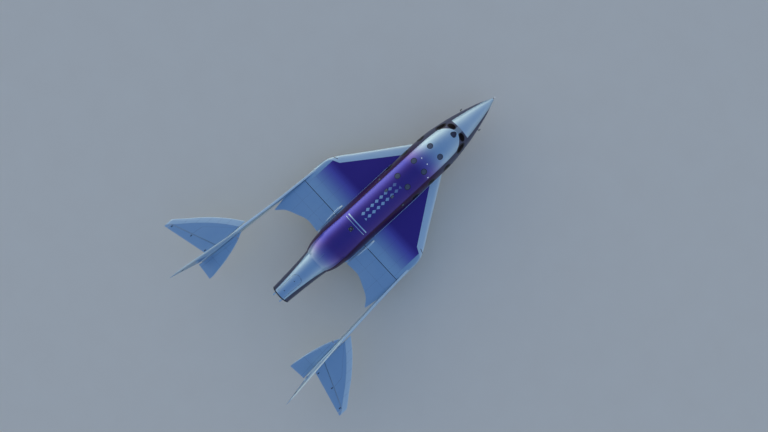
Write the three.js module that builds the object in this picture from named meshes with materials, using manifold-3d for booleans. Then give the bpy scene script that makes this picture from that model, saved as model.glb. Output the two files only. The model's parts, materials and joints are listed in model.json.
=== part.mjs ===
// Air-launched spaceplane on its landing gear, in millimetres, +Z up.
// X is across the aircraft with port at +X. Y runs aft, and the nose points to -Y.
// Stations are distances aft of the nose cone's tip. The last lines move the whole aircraft
// so that its origin lies on the ground below the middle of its length.
import * as THREE from 'three';
import Module from 'manifold-3d';
import { mergeVertices } from 'three/addons/utils/BufferGeometryUtils.js';

const wasm = await Module();
wasm.setup();

const { degToRad, mapLinear } = THREE.MathUtils;

// Driving dimensions
const GAP = 0.3; // between pieces that touch
const RUNNING_GAP = 12; // between a moving surface and the surface ahead of it
const PROBE_TIP = -130;
const FIN_TIP = 18290;
const SKIN = 60; // fuselage wall
const SECTION_SPLITS = { nose: 2700, cockpit: 4120, cabin: 8000, aft: 12860, tail: 15430 };
const WING_MID_Z = 1420;
const HINGE_STATION = 10530; // feather hinge across both wings
const HINGE_Z = 1745;
const BOOM_X = 3720; // boom plane at the hinge
const BOOM_TOE_OUT = degToRad(3.02);
const STABILISER_Z = 2350;
const STABILISER_PIVOT = 15100;
const SHAFT_RADIUS = 45;
const WHEEL_X = 1500;
const WHEEL_STATION = 10000;
const TYRE_RADIUS = 300;
const RIM_RADIUS = 165;
const AXLE_RADIUS = 30;
const SKID_STATION = 2420;

// Sides of what is round
const BODY_SIDES = 28;
const LATHE_SIDES = 24;
const PANE_SIDES = 16;
const BAR_SIDES = 16;
const THIN_SIDES = 12;

// Fuselage hoops: station, radius, height of centre
const HOOPS = [
  [0, 16, 1420], [220, 130, 1450], [600, 290, 1500], [1130, 470, 1560], [1830, 660, 1650],
  [2550, 830, 1760], [3300, 960, 1870], [3840, 1040, 1930], [4370, 1085, 1980], [5200, 1100, 2050],
  [11500, 1100, 2050], [11800, 1050, 2060], [12330, 980, 2075], [12700, 870, 2090],
  [12860, 800, 2100], [12862, 770, 2100], [13100, 740, 2110], [13650, 680, 2130],
  [14200, 635, 2145], [14700, 600, 2160], [15240, 565, 2175], [15430, 556, 2180],
];

// Wing sections: distance out, leading edge station, half thickness, half thickness at the hinge
const WING_SECTIONS = [
  [600, 4041, 215, 190], [1150, 4870, 212, 188], [2000, 6150, 195, 176], [2900, 7506, 178, 162],
  [3520, 8440, 152, 146], [3700, 8830, 120, 128], [3780, 9250, 50, 70],
];
// Wing section shape: share of the chord, share of the half thickness
const WING_PROFILE = [[0.005, 0.2], [0.02, 0.42], [0.07, 0.68], [0.2, 0.9], [0.45, 1]];

// Pale leading edge and tip on the wing: distance out, station
const LEADING_EDGE_LINE = [[500, 4900], [1180, 5870], [3110, 8460], [3430, 8650]];
const TIP_BAND_X = 3430;

// Rear wing: distance out, trailing edge station, and its shape: share of the chord, of the half thickness
const FLAP_INBOARD_X = 1195;
const FLAP_TRAILING_EDGE = [[1195, 11910], [1900, 11860], [2700, 12130], [3230, 12400], [3610, 12830]];
const FLAP_PROFILE = [[0, 1], [0.25, 0.86], [0.6, 0.52], [1, 0.06]];
const FLAP_LEAVES_BOOM = 12080;

// Boom sections: distance aft of the hinge, half width, bottom height, top height
const BOOM_SECTIONS = [
  [0, 75, 1240, 1700], [1620, 78, 1400, 1900], [2770, 80, 1600, 2250], [3870, 90, 1830, 2600],
  [4470, 100, 1910, 2640], [5170, 100, 1960, 2660], [6070, 70, 2000, 2640], [6740, 34, 2060, 2600],
];
const BOOM_NOSE_SECTIONS = [[-1250, 12, 1400, 1440], [-600, 60, 1300, 1600]];

// Fin sections: height, leading edge station, trailing edge station, half thickness
const FIN_SECTIONS = [
  [2300, 14098, 17300, 58], [3000, 15156, 17595, 50], [3800, 16366, 17932, 42],
  [4450, 17349, 18206, 28], [4600, 17600, 18272, 16], [4650, 17800, FIN_TIP, 6],
];
const VENTRAL_SECTIONS = [
  [2299, 14750, 17380, 52], [1700, 15950, 17400, 40], [1180, 16930, 17560, 24], [1100, 17060, 17600, 8],
];
// Rudder at its bottom and top: height, hinge station, half thickness of its nose
const RUDDER = [[3050, 16930, 30], [4330, 17815, 18]];

// Outboard stabiliser: distance out, leading edge station, trailing edge station, half thickness
const STABILISER_SECTIONS = [
  [4100, 14220, 16846, 82], [4720, 14690, 16998, 74], [5240, 15170, 17125, 64], [5770, 15740, 17255, 52],
  [6290, 16390, 17383, 40], [6700, 16885, 17483, 28], [6770, 16985, 17500, 10],
];
const STABILISER_ROOT = [[4120, 14100], [4200, 17900]];
// Elevon at its root and tip: distance out, hinge station, half thickness of its nose
const ELEVON = [[4250, 16240, 39], [6600, 17186, 19]];

// Inboard stabiliser: distance out, leading edge station, trailing edge station, half thickness
const INBOARD_SECTIONS = [
  [3960, 14400, 17545, 66], [3822, 14700, 17555, 64], [3510, 15440, 17585, 52], [3360, 15970, 17600, 42],
  [3240, 16490, 17615, 30], [3160, 17020, 17625, 18], [3115, 17350, 17630, 8],
];
const INBOARD_ROOT = [[3806, 14300], [4010, 17900]];

// Shapes of tail surfaces: share of the chord, share of the half thickness
const FIN_PROFILE = [[0.06, 0.5], [0.25, 1], [0.6, 0.9], [1, 0.1]];
const STABILISER_PROFILE = [[0.06, 0.55], [0.25, 1], [0.6, 0.8], [1, 0.1]];

// Openings cut through the fuselage wall by station, degrees from the top, half length, half width,
// tilt, and how strongly the outline is three-cornered
const PANES = [
  { name: 'window_centre', station: 3185, angle: 0, long: 150, wide: 150, tilt: 0, corner: 0.13 },
  { name: 'window_front', station: 2940, angle: 26, long: 145, wide: 245, tilt: -14, corner: 0 },
  { name: 'window_side', station: 3330, angle: 53, long: 265, wide: 150, tilt: 12, corner: 0 },
];
const PORTHOLE_STATIONS = [4520, 5650, 6790];
const PORTHOLE_ROWS = [{ angle: 20.5, radius: 163 }, { angle: 72, radius: 215 }];
const HATCH = { station: 3760, angle: 92, long: 250, wide: 330, tilt: 0, corner: 0 };

// Finishes
const white = new THREE.MeshStandardMaterial({ color: 0xdfe6ee, roughness: 0.3, metalness: 0 });
const violet = new THREE.MeshStandardMaterial({ color: 0x2c2a6e, roughness: 0.25, metalness: 0.2 });
const darkGloss = new THREE.MeshStandardMaterial({ color: 0x1d2030, roughness: 0.1, metalness: 0.4 });
const paneGlass = new THREE.MeshStandardMaterial({ color: 0x0c1016, roughness: 0.05, metalness: 0 });
const bareMetal = new THREE.MeshStandardMaterial({ color: 0xa9adb2, roughness: 0.35, metalness: 1 });
const darkMetal = new THREE.MeshStandardMaterial({ color: 0x26282c, roughness: 0.5, metalness: 0.8 });
const tyreRubber = new THREE.MeshStandardMaterial({ color: 0x151515, roughness: 0.85, metalness: 0 });
const cabinTrim = new THREE.MeshStandardMaterial({ color: 0x8a8f98, roughness: 0.7, metalness: 0 });

// Solids and meshes
function solidOf(geometry) {
  const bare = geometry.clone();
  bare.deleteAttribute('normal');
  bare.deleteAttribute('uv');
  const merged = mergeVertices(bare, 1e-3);
  return new wasm.Manifold(new wasm.Mesh({
    numProp: 3,
    vertProperties: new Float32Array(merged.attributes.position.array),
    triVerts: new Uint32Array(merged.index.array),
  }));
}

function geometryOf(solid) {
  const mesh = solid.getMesh();
  const geometry = new THREE.BufferGeometry();
  geometry.setAttribute('position', new THREE.BufferAttribute(mesh.vertProperties, 3));
  geometry.setIndex(new THREE.BufferAttribute(mesh.triVerts, 1));
  return geometry;
}

function join(...solids) {
  return solids.reduce((whole, next) => whole.add(next));
}

// A closed solid through rings of points, with flat fans over its ends
function loft(rings) {
  const count = rings[0].length;
  const positions = rings.flat(2);
  const index = [];
  for (let ring = 0; ring + 1 < rings.length; ring += 1) {
    for (let i = 0; i < count; i += 1) {
      const a = ring * count + i;
      const b = ring * count + (i + 1) % count;
      index.push(a, b, a + count, b, b + count, a + count);
    }
  }
  const last = (rings.length - 1) * count;
  for (let i = 1; i + 1 < count; i += 1) {
    index.push(0, i + 1, i, last, last + i, last + i + 1);
  }
  if (signedVolume(positions, index) < 0) {
    index.reverse();
  }
  const geometry = new THREE.BufferGeometry();
  geometry.setAttribute('position', new THREE.Float32BufferAttribute(positions, 3));
  geometry.setIndex(index);
  return solidOf(geometry);
}

function signedVolume(positions, index) {
  let volume = 0;
  for (let i = 0; i < index.length; i += 3) {
    const [p, q, r] = [0, 1, 2].map((k) => new THREE.Vector3().fromArray(positions, index[i + k] * 3));
    volume += p.dot(q.cross(r));
  }
  return volume;
}

// An upright prism over a plan outline of [distance out, station] points
function planPrism(outline, bottom, top) {
  const shape = new THREE.Shape(outline.map(([x, y]) => new THREE.Vector2(x, y)));
  const geometry = new THREE.ExtrudeGeometry(shape, { depth: top - bottom, bevelEnabled: false });
  return solidOf(geometry.translate(0, 0, bottom));
}

// A prism across the aircraft over a side outline of [station, height] points
function sidePrism(outline, inner, outer) {
  const shape = new THREE.Shape(outline.map(([y, z]) => new THREE.Vector2(y, z)));
  const geometry = new THREE.ExtrudeGeometry(shape, { depth: outer - inner, bevelEnabled: false });
  geometry.rotateX(Math.PI / 2).rotateZ(Math.PI / 2);
  return solidOf(geometry.translate(inner, 0, 0));
}

// A round bar between two points
function bar(from, to, radius, sides = BAR_SIDES) {
  const start = new THREE.Vector3(...from);
  const along = new THREE.Vector3(...to).sub(start);
  const geometry = new THREE.CylinderGeometry(radius, radius, along.length(), sides);
  geometry.translate(0, along.length() / 2, 0);
  geometry.applyQuaternion(new THREE.Quaternion().setFromUnitVectors(
    new THREE.Vector3(0, 1, 0),
    along.clone().normalize(),
  ));
  return solidOf(geometry.translate(...from));
}

function block(x, y, z) {
  const geometry = new THREE.BoxGeometry(x[1] - x[0], y[1] - y[0], z[1] - z[0]);
  return solidOf(geometry.translate((x[0] + x[1]) / 2, (y[0] + y[1]) / 2, (z[0] + z[1]) / 2));
}

// A profile of [radius, place along Y] points turned about the Y axis
function lathe(profile, height = 0) {
  const points = profile.map(([radius, y]) => new THREE.Vector2(radius, y));
  return solidOf(new THREE.LatheGeometry(points, LATHE_SIDES).translate(0, 0, height));
}

// A column of a table, read between its rows or beyond its last ones. The first column rises
function between(table, at, column) {
  const after = table.findIndex((row) => row[0] > at);
  const next = after === -1 ? table.length - 1 : Math.max(after, 1);
  const [low, high] = [table[next - 1], table[next]];
  return mapLinear(at, low[0], high[0], low[column], high[column]);
}

const aircraft = new THREE.Group();

function place(name, solid, material, parent = aircraft) {
  const mesh = new THREE.Mesh(geometryOf(solid), material);
  mesh.name = name;
  parent.add(mesh);
}

// The same piece on port and starboard, the second mirrored
function placePair(name, solid, material, parents = { l: aircraft, r: aircraft }) {
  place(`${name}_l`, solid, material, parents.l);
  const mirrored = geometryOf(solid).scale(-1, 1, 1);
  mirrored.index.array.reverse();
  const mesh = new THREE.Mesh(mirrored, material);
  mesh.name = `${name}_r`;
  parents.r.add(mesh);
}

// Fuselage
function fuselage(from, to, grow = 0) {
  const stations = [from, ...HOOPS.map((row) => row[0]).filter((s) => s > from && s < to), to];
  return loft(stations.map((station) => {
    const radius = between(HOOPS, station, 1) + grow;
    const centre = between(HOOPS, station, 2);
    return Array.from({ length: BODY_SIDES }, (_, i) => {
      const angle = (i + 0.5) / BODY_SIDES * 2 * Math.PI;
      return [radius * Math.sin(angle), station, centre + radius * Math.cos(angle)];
    });
  }));
}

// A plug through the fuselage wall, square to it
function wallPlug({ station, angle, long, wide, tilt, corner }, inset = 0, sides = PANE_SIDES) {
  const radius = between(HOOPS, station, 1);
  const centre = between(HOOPS, station, 2);
  const arc = degToRad(angle);
  const turn = degToRad(tilt);
  const ring = (depth) => Array.from({ length: sides }, (_, i) => {
    const phase = i / sides * 2 * Math.PI;
    const swell = 1 + corner * Math.cos(3 * phase + Math.PI);
    const along = (long - inset) * Math.cos(phase) * swell;
    const around = (wide - inset) * Math.sin(phase) * swell;
    const out = along * Math.sin(turn) + around * Math.cos(turn);
    return [
      depth * Math.sin(arc) + out * Math.cos(arc),
      station + along * Math.cos(turn) - around * Math.sin(turn),
      centre + depth * Math.cos(arc) - out * Math.sin(arc),
    ];
  });
  return loft([ring(radius - 2.5 * SKIN), ring(radius + SKIN)]);
}

function bothSides(plug) {
  return plug.angle === 0 ? [plug] : [plug, { ...plug, angle: -plug.angle, tilt: -plug.tilt }];
}

const { nose, cockpit, cabin, aft, tail } = SECTION_SPLITS;
const BULKHEAD = 60;
const inside = fuselage(nose - 1, aft - 200, -SKIN);

const PROBE_RADIUS = 15;
const [, , noseTipZ] = HOOPS[0];
place('nose_cone', fuselage(0, nose - GAP), white);
place('nose_probe', bar([0, -GAP, noseTipZ], [0, PROBE_TIP, noseTipZ], PROBE_RADIUS, THIN_SIDES), white);

const cockpitWall = fuselage(nose, cockpit - GAP);
const windowCuts = PANES.flatMap(bothSides).map((pane) => wallPlug(pane));
place('cockpit_section', cockpitWall.subtract(join(inside, wallPlug(HATCH), ...windowCuts)), white);
const outerWall = cockpitWall.subtract(fuselage(nose - 1, cockpit, -SKIN / 2));
for (const pane of PANES) {
  const glass = outerWall.intersect(wallPlug(pane, GAP));
  const placePane = pane.angle === 0 ? place : placePair;
  placePane(pane.name, glass, paneGlass);
}
place('crew_hatch', cockpitWall.subtract(inside).intersect(wallPlug(HATCH, GAP)), darkGloss);

const portholeCuts = PORTHOLE_ROWS.flatMap(({ angle, radius }) => PORTHOLE_STATIONS.flatMap((station) => {
  const porthole = { station, angle, long: radius, wide: radius, tilt: 0, corner: 0 };
  return bothSides(porthole).map((plug) => wallPlug(plug, 0, THIN_SIDES));
}));
place('cabin_section', fuselage(cockpit, cabin - GAP).subtract(join(inside, ...portholeCuts)), violet);
place('aft_section', fuselage(cabin, aft - GAP).subtract(inside), violet);

// Pressure bulkhead, and the cabin floor with its seats: station, distance across
const FLOOR_TOP = 1450;
const FLOOR_THICK = 60;
const FLOOR_HALF = 1000;
const SEATS = [[3900, 400], [4900, 480], [5900, 480], [6900, 480]];
const SEAT = { half: 230, front: -250, back: 250, height: 420 };
const SEAT_BACK = { front: 150, back: 270, height: 980 };
const PANEL = { half: 900, depth: 260, top: 2230 };
const floorRoom = fuselage(nose + GAP, cabin - GAP, -SKIN - GAP);
place('pressure_bulkhead', fuselage(cabin - BULKHEAD, cabin - GAP, -SKIN - GAP), cabinTrim);

function seat(station, x) {
  const part = ({ front, back, height }) => block(
    [x - SEAT.half, x + SEAT.half],
    [station + front, station + back],
    [FLOOR_TOP - 1, FLOOR_TOP + height],
  );
  return part(SEAT).add(part(SEAT_BACK));
}
const seats = SEATS.flatMap(([station, x]) => [seat(station, x), seat(station, -x)]);
const floor = block(
  [-FLOOR_HALF, FLOOR_HALF],
  [nose + GAP, cabin - BULKHEAD - GAP],
  [FLOOR_TOP - FLOOR_THICK, FLOOR_TOP],
);
place('cabin_floor', join(floor, ...seats).intersect(floorRoom), cabinTrim);
const panel = block(
  [-PANEL.half, PANEL.half],
  [nose + GAP, nose + PANEL.depth],
  [FLOOR_TOP + GAP, PANEL.top],
);
place('instrument_panel', panel.intersect(floorRoom), darkMetal);

// Tail cone, tail ring, nozzle and motor. Their profiles are radius and place along the tail
const TAIL_WALL = 40;
const RING = { inner: 500, outer: 556, aftOuter: 550, depth: 60 };
const MOTOR_END = tail - 770;
const MOTOR_START = 13050;
const [, , tailZ] = HOOPS.at(-1);
place('tail_cone', fuselage(aft, tail - GAP).subtract(fuselage(aft + 150, tail + 10, -TAIL_WALL)), white);
place('tail_ring', lathe([
  [RING.inner, tail], [RING.outer, tail], [RING.aftOuter, tail + RING.depth],
  [RING.inner, tail + RING.depth], [RING.inner, tail],
], tailZ), darkMetal);
place('nozzle', lathe([
  [0, MOTOR_END], [230, MOTOR_END], [230, tail - 670], [290, tail - 480], [400, tail - 270],
  [RING.inner - GAP, tail - 40], [RING.inner - GAP, tail + RING.depth], [480, tail + RING.depth],
  [380, tail - 270], [270, tail - 470], [170, tail - 650], [170, tail - 730], [0, tail - 730],
], tailZ), darkMetal);
place('motor', lathe([
  [0, MOTOR_START], [380, MOTOR_START], [380, MOTOR_END - 260], [230, MOTOR_END - GAP],
  [0, MOTOR_END - GAP], [0, MOTOR_START],
], tailZ), bareMetal);

// Vent stubs on the aft face of the tail ring
const STUB = { x: 236, up: 472, radius: 40, length: 180 };
const stubStart = tail + RING.depth + GAP;
placePair('vent_stub', bar(
  [STUB.x, stubStart, tailZ + STUB.up],
  [STUB.x, stubStart + STUB.length, tailZ + STUB.up],
  STUB.radius,
  THIN_SIDES,
), white);

// Carry pads: station, distance across, half length, half width
const CARRY_PADS = [
  { name: 'carry_pad_front_l', station: 7710, x: 230, long: 90, wide: 60 },
  { name: 'carry_pad_front_r', station: 7710, x: -230, long: 90, wide: 60 },
  { name: 'carry_pad_rear', station: 10360, x: 0, long: 120, wide: 110 },
];
const PAD_TOP = 3175;
const PAD_FOOT = 3000;
const underPads = fuselage(cabin - 800, aft - 500, GAP);
for (const { name, station, x, long, wide } of CARRY_PADS) {
  const pad = block([x - wide, x + wide], [station - long, station + long], [PAD_FOOT, PAD_TOP]);
  place(name, pad.subtract(underPads), bareMetal);
}

// Wings, parted by prisms: all that lies ahead of the pale band's edge, and all outboard of a line
const wingBack = HINGE_STATION - RUNNING_GAP / 2;
const ROOM = { front: 3000, back: 11000, outer: 4000, top: 3000 };
function wing(grow = 0) {
  return loft(WING_SECTIONS.map(([x, edge, thick, hingeThick]) => {
    const chord = wingBack - edge;
    const side = (sign) => WING_PROFILE.map(([share, swell]) => (
      [x, edge + share * chord, WING_MID_Z + sign * (thick * swell + grow)]
    ));
    const hinge = (sign) => [x, wingBack, WING_MID_Z + sign * (hingeThick + grow)];
    return [[x, edge - grow, WING_MID_Z], ...side(1), hinge(1), hinge(-1), ...side(-1).reverse()];
  }));
}

function aheadOfBand(shift) {
  const edge = LEADING_EDGE_LINE.map(([x, y]) => [x, y + shift]);
  return planPrism([...edge, [TIP_BAND_X, ROOM.front], [edge[0][0], ROOM.front]], 0, ROOM.top);
}

function outboardOf(x) {
  const outline = [[x, ROOM.front], [ROOM.outer, ROOM.front], [ROOM.outer, ROOM.back], [x, ROOM.back]];
  return planPrism(outline, 0, ROOM.top);
}

const wingGrown = wing(GAP);
const wholeWing = wing().subtract(fuselage(3900, 12500, GAP));
const tipSide = outboardOf(TIP_BAND_X);
placePair('leading_edge', wholeWing.intersect(aheadOfBand(0)).subtract(tipSide), white);
const wingCuts = join(aheadOfBand(2 * GAP), outboardOf(TIP_BAND_X - GAP));
placePair('wing', wholeWing.subtract(wingCuts), violet);

// Hinge knuckles: a fork and its pin on the wing, and a lug between its cheeks on the feather section.
// Each is given by its inner and outer distance out, the fork by its front and foot,
// and the lug by its reach aft and its foot
const KNUCKLE = { cheek: 25, radius: 30, pin: 12, slack: 6 };
const HINGES = {
  inner: { span: [1205, 1335], front: 9900, lugReach: 430, lugFoot: 1560 },
  outer: { span: [3652, 3788], front: 10060, lugReach: 160, lugFoot: 1640 },
};
const FORK_FOOT = 1550;
function axisBar([from, to], radius, sides = BAR_SIDES) {
  return bar([from, HINGE_STATION, HINGE_Z], [to, HINGE_STATION, HINGE_Z], radius, sides);
}

function hingeFork({ span, front }) {
  const [from, to] = span;
  const top = HINGE_Z + KNUCKLE.radius;
  const outline = [[front, FORK_FOOT], [front + 350, top], [wingBack, top], [wingBack, FORK_FOOT]];
  const cheeks = [from + KNUCKLE.cheek, to - KNUCKLE.cheek];
  return join(
    sidePrism(outline, from, to).subtract(axisBar(cheeks, KNUCKLE.radius + KNUCKLE.slack, LATHE_SIDES)),
    axisBar([from, from + KNUCKLE.cheek], KNUCKLE.radius),
    axisBar([to - KNUCKLE.cheek, to], KNUCKLE.radius),
    axisBar(span, KNUCKLE.pin),
  );
}

function hingeLug({ span, lugReach, lugFoot }) {
  const [from, to] = [span[0] + KNUCKLE.cheek + KNUCKLE.slack, span[1] - KNUCKLE.cheek - KNUCKLE.slack];
  const start = HINGE_STATION + RUNNING_GAP / 2;
  const leg = sidePrism([
    [start, lugFoot], [start + lugReach, lugFoot], [HINGE_STATION + 26, HINGE_Z + 16],
    [HINGE_STATION, HINGE_Z - 26], [start, HINGE_Z - 60],
  ], from, to);
  const eye = axisBar([from, to], KNUCKLE.radius - 4);
  return join(leg, eye).subtract(axisBar([from - 1, to + 1], KNUCKLE.pin + GAP));
}

placePair('hinge_fairing', hingeFork(HINGES.inner).subtract(wingGrown), white);

// Booms, in frames that toe out, with the tip fairing that carries on their line ahead of the hinge
function boom(sections, grow = 0) {
  return loft(sections.map(([along, half, bottom, top], i) => {
    const y = along + grow * (i + 1 === sections.length);
    const [w, low, high] = [half + grow, bottom - grow, top + grow];
    const chamfer = 0.45 * half;
    return [
      [-w, y, low + chamfer], [-w, y, high - chamfer], [-w + chamfer, y, high], [w - chamfer, y, high],
      [w, y, high - chamfer], [w, y, low + chamfer], [w - chamfer, y, low], [-w + chamfer, y, low],
    ];
  }));
}

function turnedFrame(side, x, station, height, turn) {
  const frame = new THREE.Group();
  frame.position.set(side * x, station, height);
  frame.rotation.z = -side * turn;
  aircraft.add(frame);
  return frame;
}
const boomFrames = {
  l: turnedFrame(1, BOOM_X, HINGE_STATION, 0, BOOM_TOE_OUT),
  r: turnedFrame(-1, BOOM_X, HINGE_STATION, 0, BOOM_TOE_OUT),
};

// A point given as [distance out, station] in the boom's own frame
function toBoom([x, y]) {
  const [dx, dy] = [x - BOOM_X, y - HINGE_STATION];
  const [c, s] = [Math.cos(BOOM_TOE_OUT), Math.sin(BOOM_TOE_OUT)];
  return [dx * c - dy * s, dx * s + dy * c];
}

const [, ...boomRoot] = BOOM_SECTIONS[0];
const boomNose = boom([...BOOM_NOSE_SECTIONS, [-RUNNING_GAP / 2, ...boomRoot]]);
const noseAtTip = geometryOf(boomNose).rotateZ(-BOOM_TOE_OUT).translate(BOOM_X, HINGE_STATION, 0);
const squareEnd = block([3000, 4000], [wingBack, HINGE_STATION + 100], [1000, HINGE_Z - KNUCKLE.radius - 2]);
placePair('tip_fairing', join(wholeWing, solidOf(noseAtTip))
  .intersect(tipSide)
  .add(hingeFork(HINGES.outer))
  .subtract(squareEnd), white);

// Rear wing flaps, which run along the boom and then cut in to a sharp tip
const FLAP_TO_BOOM = 6;
const flapFront = HINGE_STATION + RUNNING_GAP / 2;
const flapOuterX = (station) => (
  BOOM_X - boomRoot[0] - FLAP_TO_BOOM + (station - HINGE_STATION) * Math.tan(BOOM_TOE_OUT)
);
const flapSections = [...FLAP_TRAILING_EDGE, [3900, FLAP_TRAILING_EDGE.at(-1)[1]]];
const flapLoft = loft(flapSections.map(([x, edge]) => {
  const thick = between(WING_SECTIONS, Math.min(x, 3600), 3);
  const side = (sign) => FLAP_PROFILE.map(([share, swell]) => (
    [x, flapFront + share * (edge - flapFront), WING_MID_Z + sign * swell * thick]
  ));
  return [...side(1), ...side(-1).reverse()];
}));
const flapPlan = planPrism([
  [FLAP_INBOARD_X, flapFront], [flapOuterX(flapFront), flapFront],
  [flapOuterX(FLAP_LEAVES_BOOM), FLAP_LEAVES_BOOM], ...FLAP_TRAILING_EDGE.toReversed(),
], 0, ROOM.top);
placePair('flap', flapLoft.intersect(flapPlan).add(hingeLug(HINGES.inner)), violet);

// Fins and their rudders, in the boom's frame. A pin through the rudder reaches into the fin
const CONTROL_PIN = 8;
const PIN_REACH = 50;
const PIN_HOLE_REACH = 60;
const TRAILING_HALF = 3;
const NOSE_ARC = [90, 130, 180, 230, 270].map(degToRad);

function closedProfile(profile, at) {
  const back = profile.map(([share, swell]) => at(share, -swell)).reverse();
  return [at(0, 0), ...profile.map(([share, swell]) => at(share, swell)), ...back];
}

function blade(sections) {
  return loft(sections.map(([z, front, back, thick]) => closedProfile(FIN_PROFILE, (share, swell) => (
    [swell * thick, front + share * (back - front) - HINGE_STATION, z]
  ))));
}

const [rudderBottom, rudderTop] = RUDDER.map((row) => row[0]);
const rudderSweep = Math.atan2(RUDDER[1][1] - RUDDER[0][1], rudderTop - rudderBottom);
const rudderAxis = (z) => [0, between(RUDDER, z, 1) - HINGE_STATION, z];
function rudderRing(z) {
  const nose = between(RUDDER, z, 2);
  const [, hinge] = rudderAxis(z);
  const back = between(FIN_SECTIONS, z, 2) - HINGE_STATION;
  const round = NOSE_ARC.map((angle) => (
    [nose * Math.sin(angle), hinge + nose * Math.cos(angle) / Math.cos(rudderSweep), z]
  ));
  return [...round, [-TRAILING_HALF, back, z], [TRAILING_HALF, back, z]];
}

const rudderRoom = loft([rudderBottom - RUNNING_GAP, rudderTop + 2 * RUNNING_GAP].map((z) => {
  const front = rudderAxis(z)[1] - (between(RUDDER, z, 2) + RUNNING_GAP) / Math.cos(rudderSweep);
  const [half, back] = [100, FIN_TIP];
  return [[-half, front, z], [half, front, z], [half, back, z], [-half, back, z]];
}));
const rudderPin = (reach, radius) => (
  bar(rudderAxis(rudderBottom - reach), rudderAxis(rudderTop + reach), radius, THIN_SIDES)
);
const boomGrown = boom(BOOM_SECTIONS, GAP);
const finCuts = join(boomGrown, rudderRoom, rudderPin(PIN_HOLE_REACH, CONTROL_PIN + GAP));
placePair('fin', blade(FIN_SECTIONS).subtract(finCuts), white, boomFrames);
const rudderBody = loft([rudderBottom, rudderTop].map(rudderRing));
placePair('rudder', rudderBody.add(rudderPin(PIN_REACH, CONTROL_PIN)), white, boomFrames);
placePair('ventral_fin', blade(VENTRAL_SECTIONS).subtract(boomGrown), white, boomFrames);

// Boom with a bore for the stabiliser shaft
const pivotAlong = STABILISER_PIVOT - HINGE_STATION;
function shaftBar([from, to], radius, extra = 0) {
  const ends = [from - extra, to + extra].map((x) => [x, pivotAlong, STABILISER_Z]);
  return bar(...ends, radius, LATHE_SIDES);
}
const boomBody = boom([[RUNNING_GAP / 2, ...boomRoot], ...BOOM_SECTIONS.slice(1)]);
const lugInFrame = geometryOf(hingeLug(HINGES.outer))
  .translate(-BOOM_X, -HINGE_STATION, 0)
  .rotateZ(BOOM_TOE_OUT);
const boomBore = shaftBar([-300, 300], SHAFT_RADIUS + 2 * GAP);
placePair('boom', boomBody.subtract(boomBore).add(solidOf(lugInFrame)), white, boomFrames);

// Stabilisers on their shaft, in the boom's frame
const SHAFT_REACH = [-330, 520]; // inboard and outboard of the boom's plane
placePair('stabiliser_shaft', shaftBar(SHAFT_REACH, SHAFT_RADIUS), bareMetal, boomFrames);
const shaftBore = shaftBar(SHAFT_REACH, SHAFT_RADIUS + GAP, GAP);

function panelLoft(sections) {
  return loft(sections.map(([x, front, back, thick]) => closedProfile(STABILISER_PROFILE, (share, swell) => (
    [...toBoom([x, front + share * (back - front)]), STABILISER_Z + swell * thick]
  ))));
}

function tailPrism(outline, half) {
  return planPrism(outline.map(toBoom), STABILISER_Z - half, STABILISER_Z + half);
}

// All that lies on the far side of a root line
function beyondRoot(line, far) {
  return tailPrism([...line, [far, line[1][1]], [far, line[0][1]]], 500);
}

// Elevon with a round nose, its room in the stabiliser, and the horn that holds the inner end of its pin
const TIP_ROOM = 20;
const HORN = { x: [4100, 4241], station: [16064, 16274], half: 24 };
const [elevonRoot, elevonTip] = ELEVON.map((row) => row[0]);
const elevonSweep = Math.atan2(ELEVON[1][1] - ELEVON[0][1], elevonTip - elevonRoot);
const elevonHinge = (x) => [x, between(ELEVON, x, 1)];
const elevonPoint = (x) => [...toBoom(elevonHinge(x)), STABILISER_Z];
const elevonPin = (inner, outer, radius) => (
  bar(elevonPoint(elevonRoot - inner), elevonPoint(elevonTip + outer), radius, THIN_SIDES)
);
function elevonRing(x) {
  const nose = between(ELEVON, x, 2);
  const [, hinge] = elevonHinge(x);
  const back = between(STABILISER_SECTIONS, x, 2);
  const round = NOSE_ARC.map((angle) => (
    [x, hinge + nose * Math.cos(angle) / Math.cos(elevonSweep), nose * Math.sin(angle)]
  ));
  const points = [...round, [x, back, -TRAILING_HALF], [x, back, TRAILING_HALF]];
  return points.map(([px, py, pz]) => [...toBoom([px, py]), STABILISER_Z + pz]);
}

function frontOfElevon(x) {
  const [, hinge] = elevonHinge(x);
  return [x, hinge - (between(ELEVON, x, 2) + RUNNING_GAP) / Math.cos(elevonSweep)];
}

const elevonRoom = tailPrism([
  frontOfElevon(3888), frontOfElevon(elevonTip + TIP_ROOM), [elevonTip + TIP_ROOM, 18000], [3900, 18000],
], 300);
const hornCorners = HORN.x.flatMap((x, i) => [HORN.station[i], HORN.station[1 - i]].map((y) => [x, y]));
const outboardCuts = join(shaftBore, elevonPin(68, PIN_HOLE_REACH + 8, CONTROL_PIN + GAP));
placePair('stabiliser_out', panelLoft(STABILISER_SECTIONS)
  .subtract(elevonRoom)
  .add(tailPrism(hornCorners, HORN.half))
  .intersect(beyondRoot(STABILISER_ROOT, 7000))
  .subtract(outboardCuts), white, boomFrames);
const elevonBody = loft([elevonRing(elevonRoot), elevonRing(elevonTip)]);
placePair('elevon', elevonBody.add(elevonPin(29, PIN_REACH + 6, CONTROL_PIN)), white, boomFrames);
placePair('stabiliser_in', panelLoft(INBOARD_SECTIONS)
  .intersect(beyondRoot(INBOARD_ROOT, 2500))
  .subtract(shaftBore), white, boomFrames);

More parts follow.
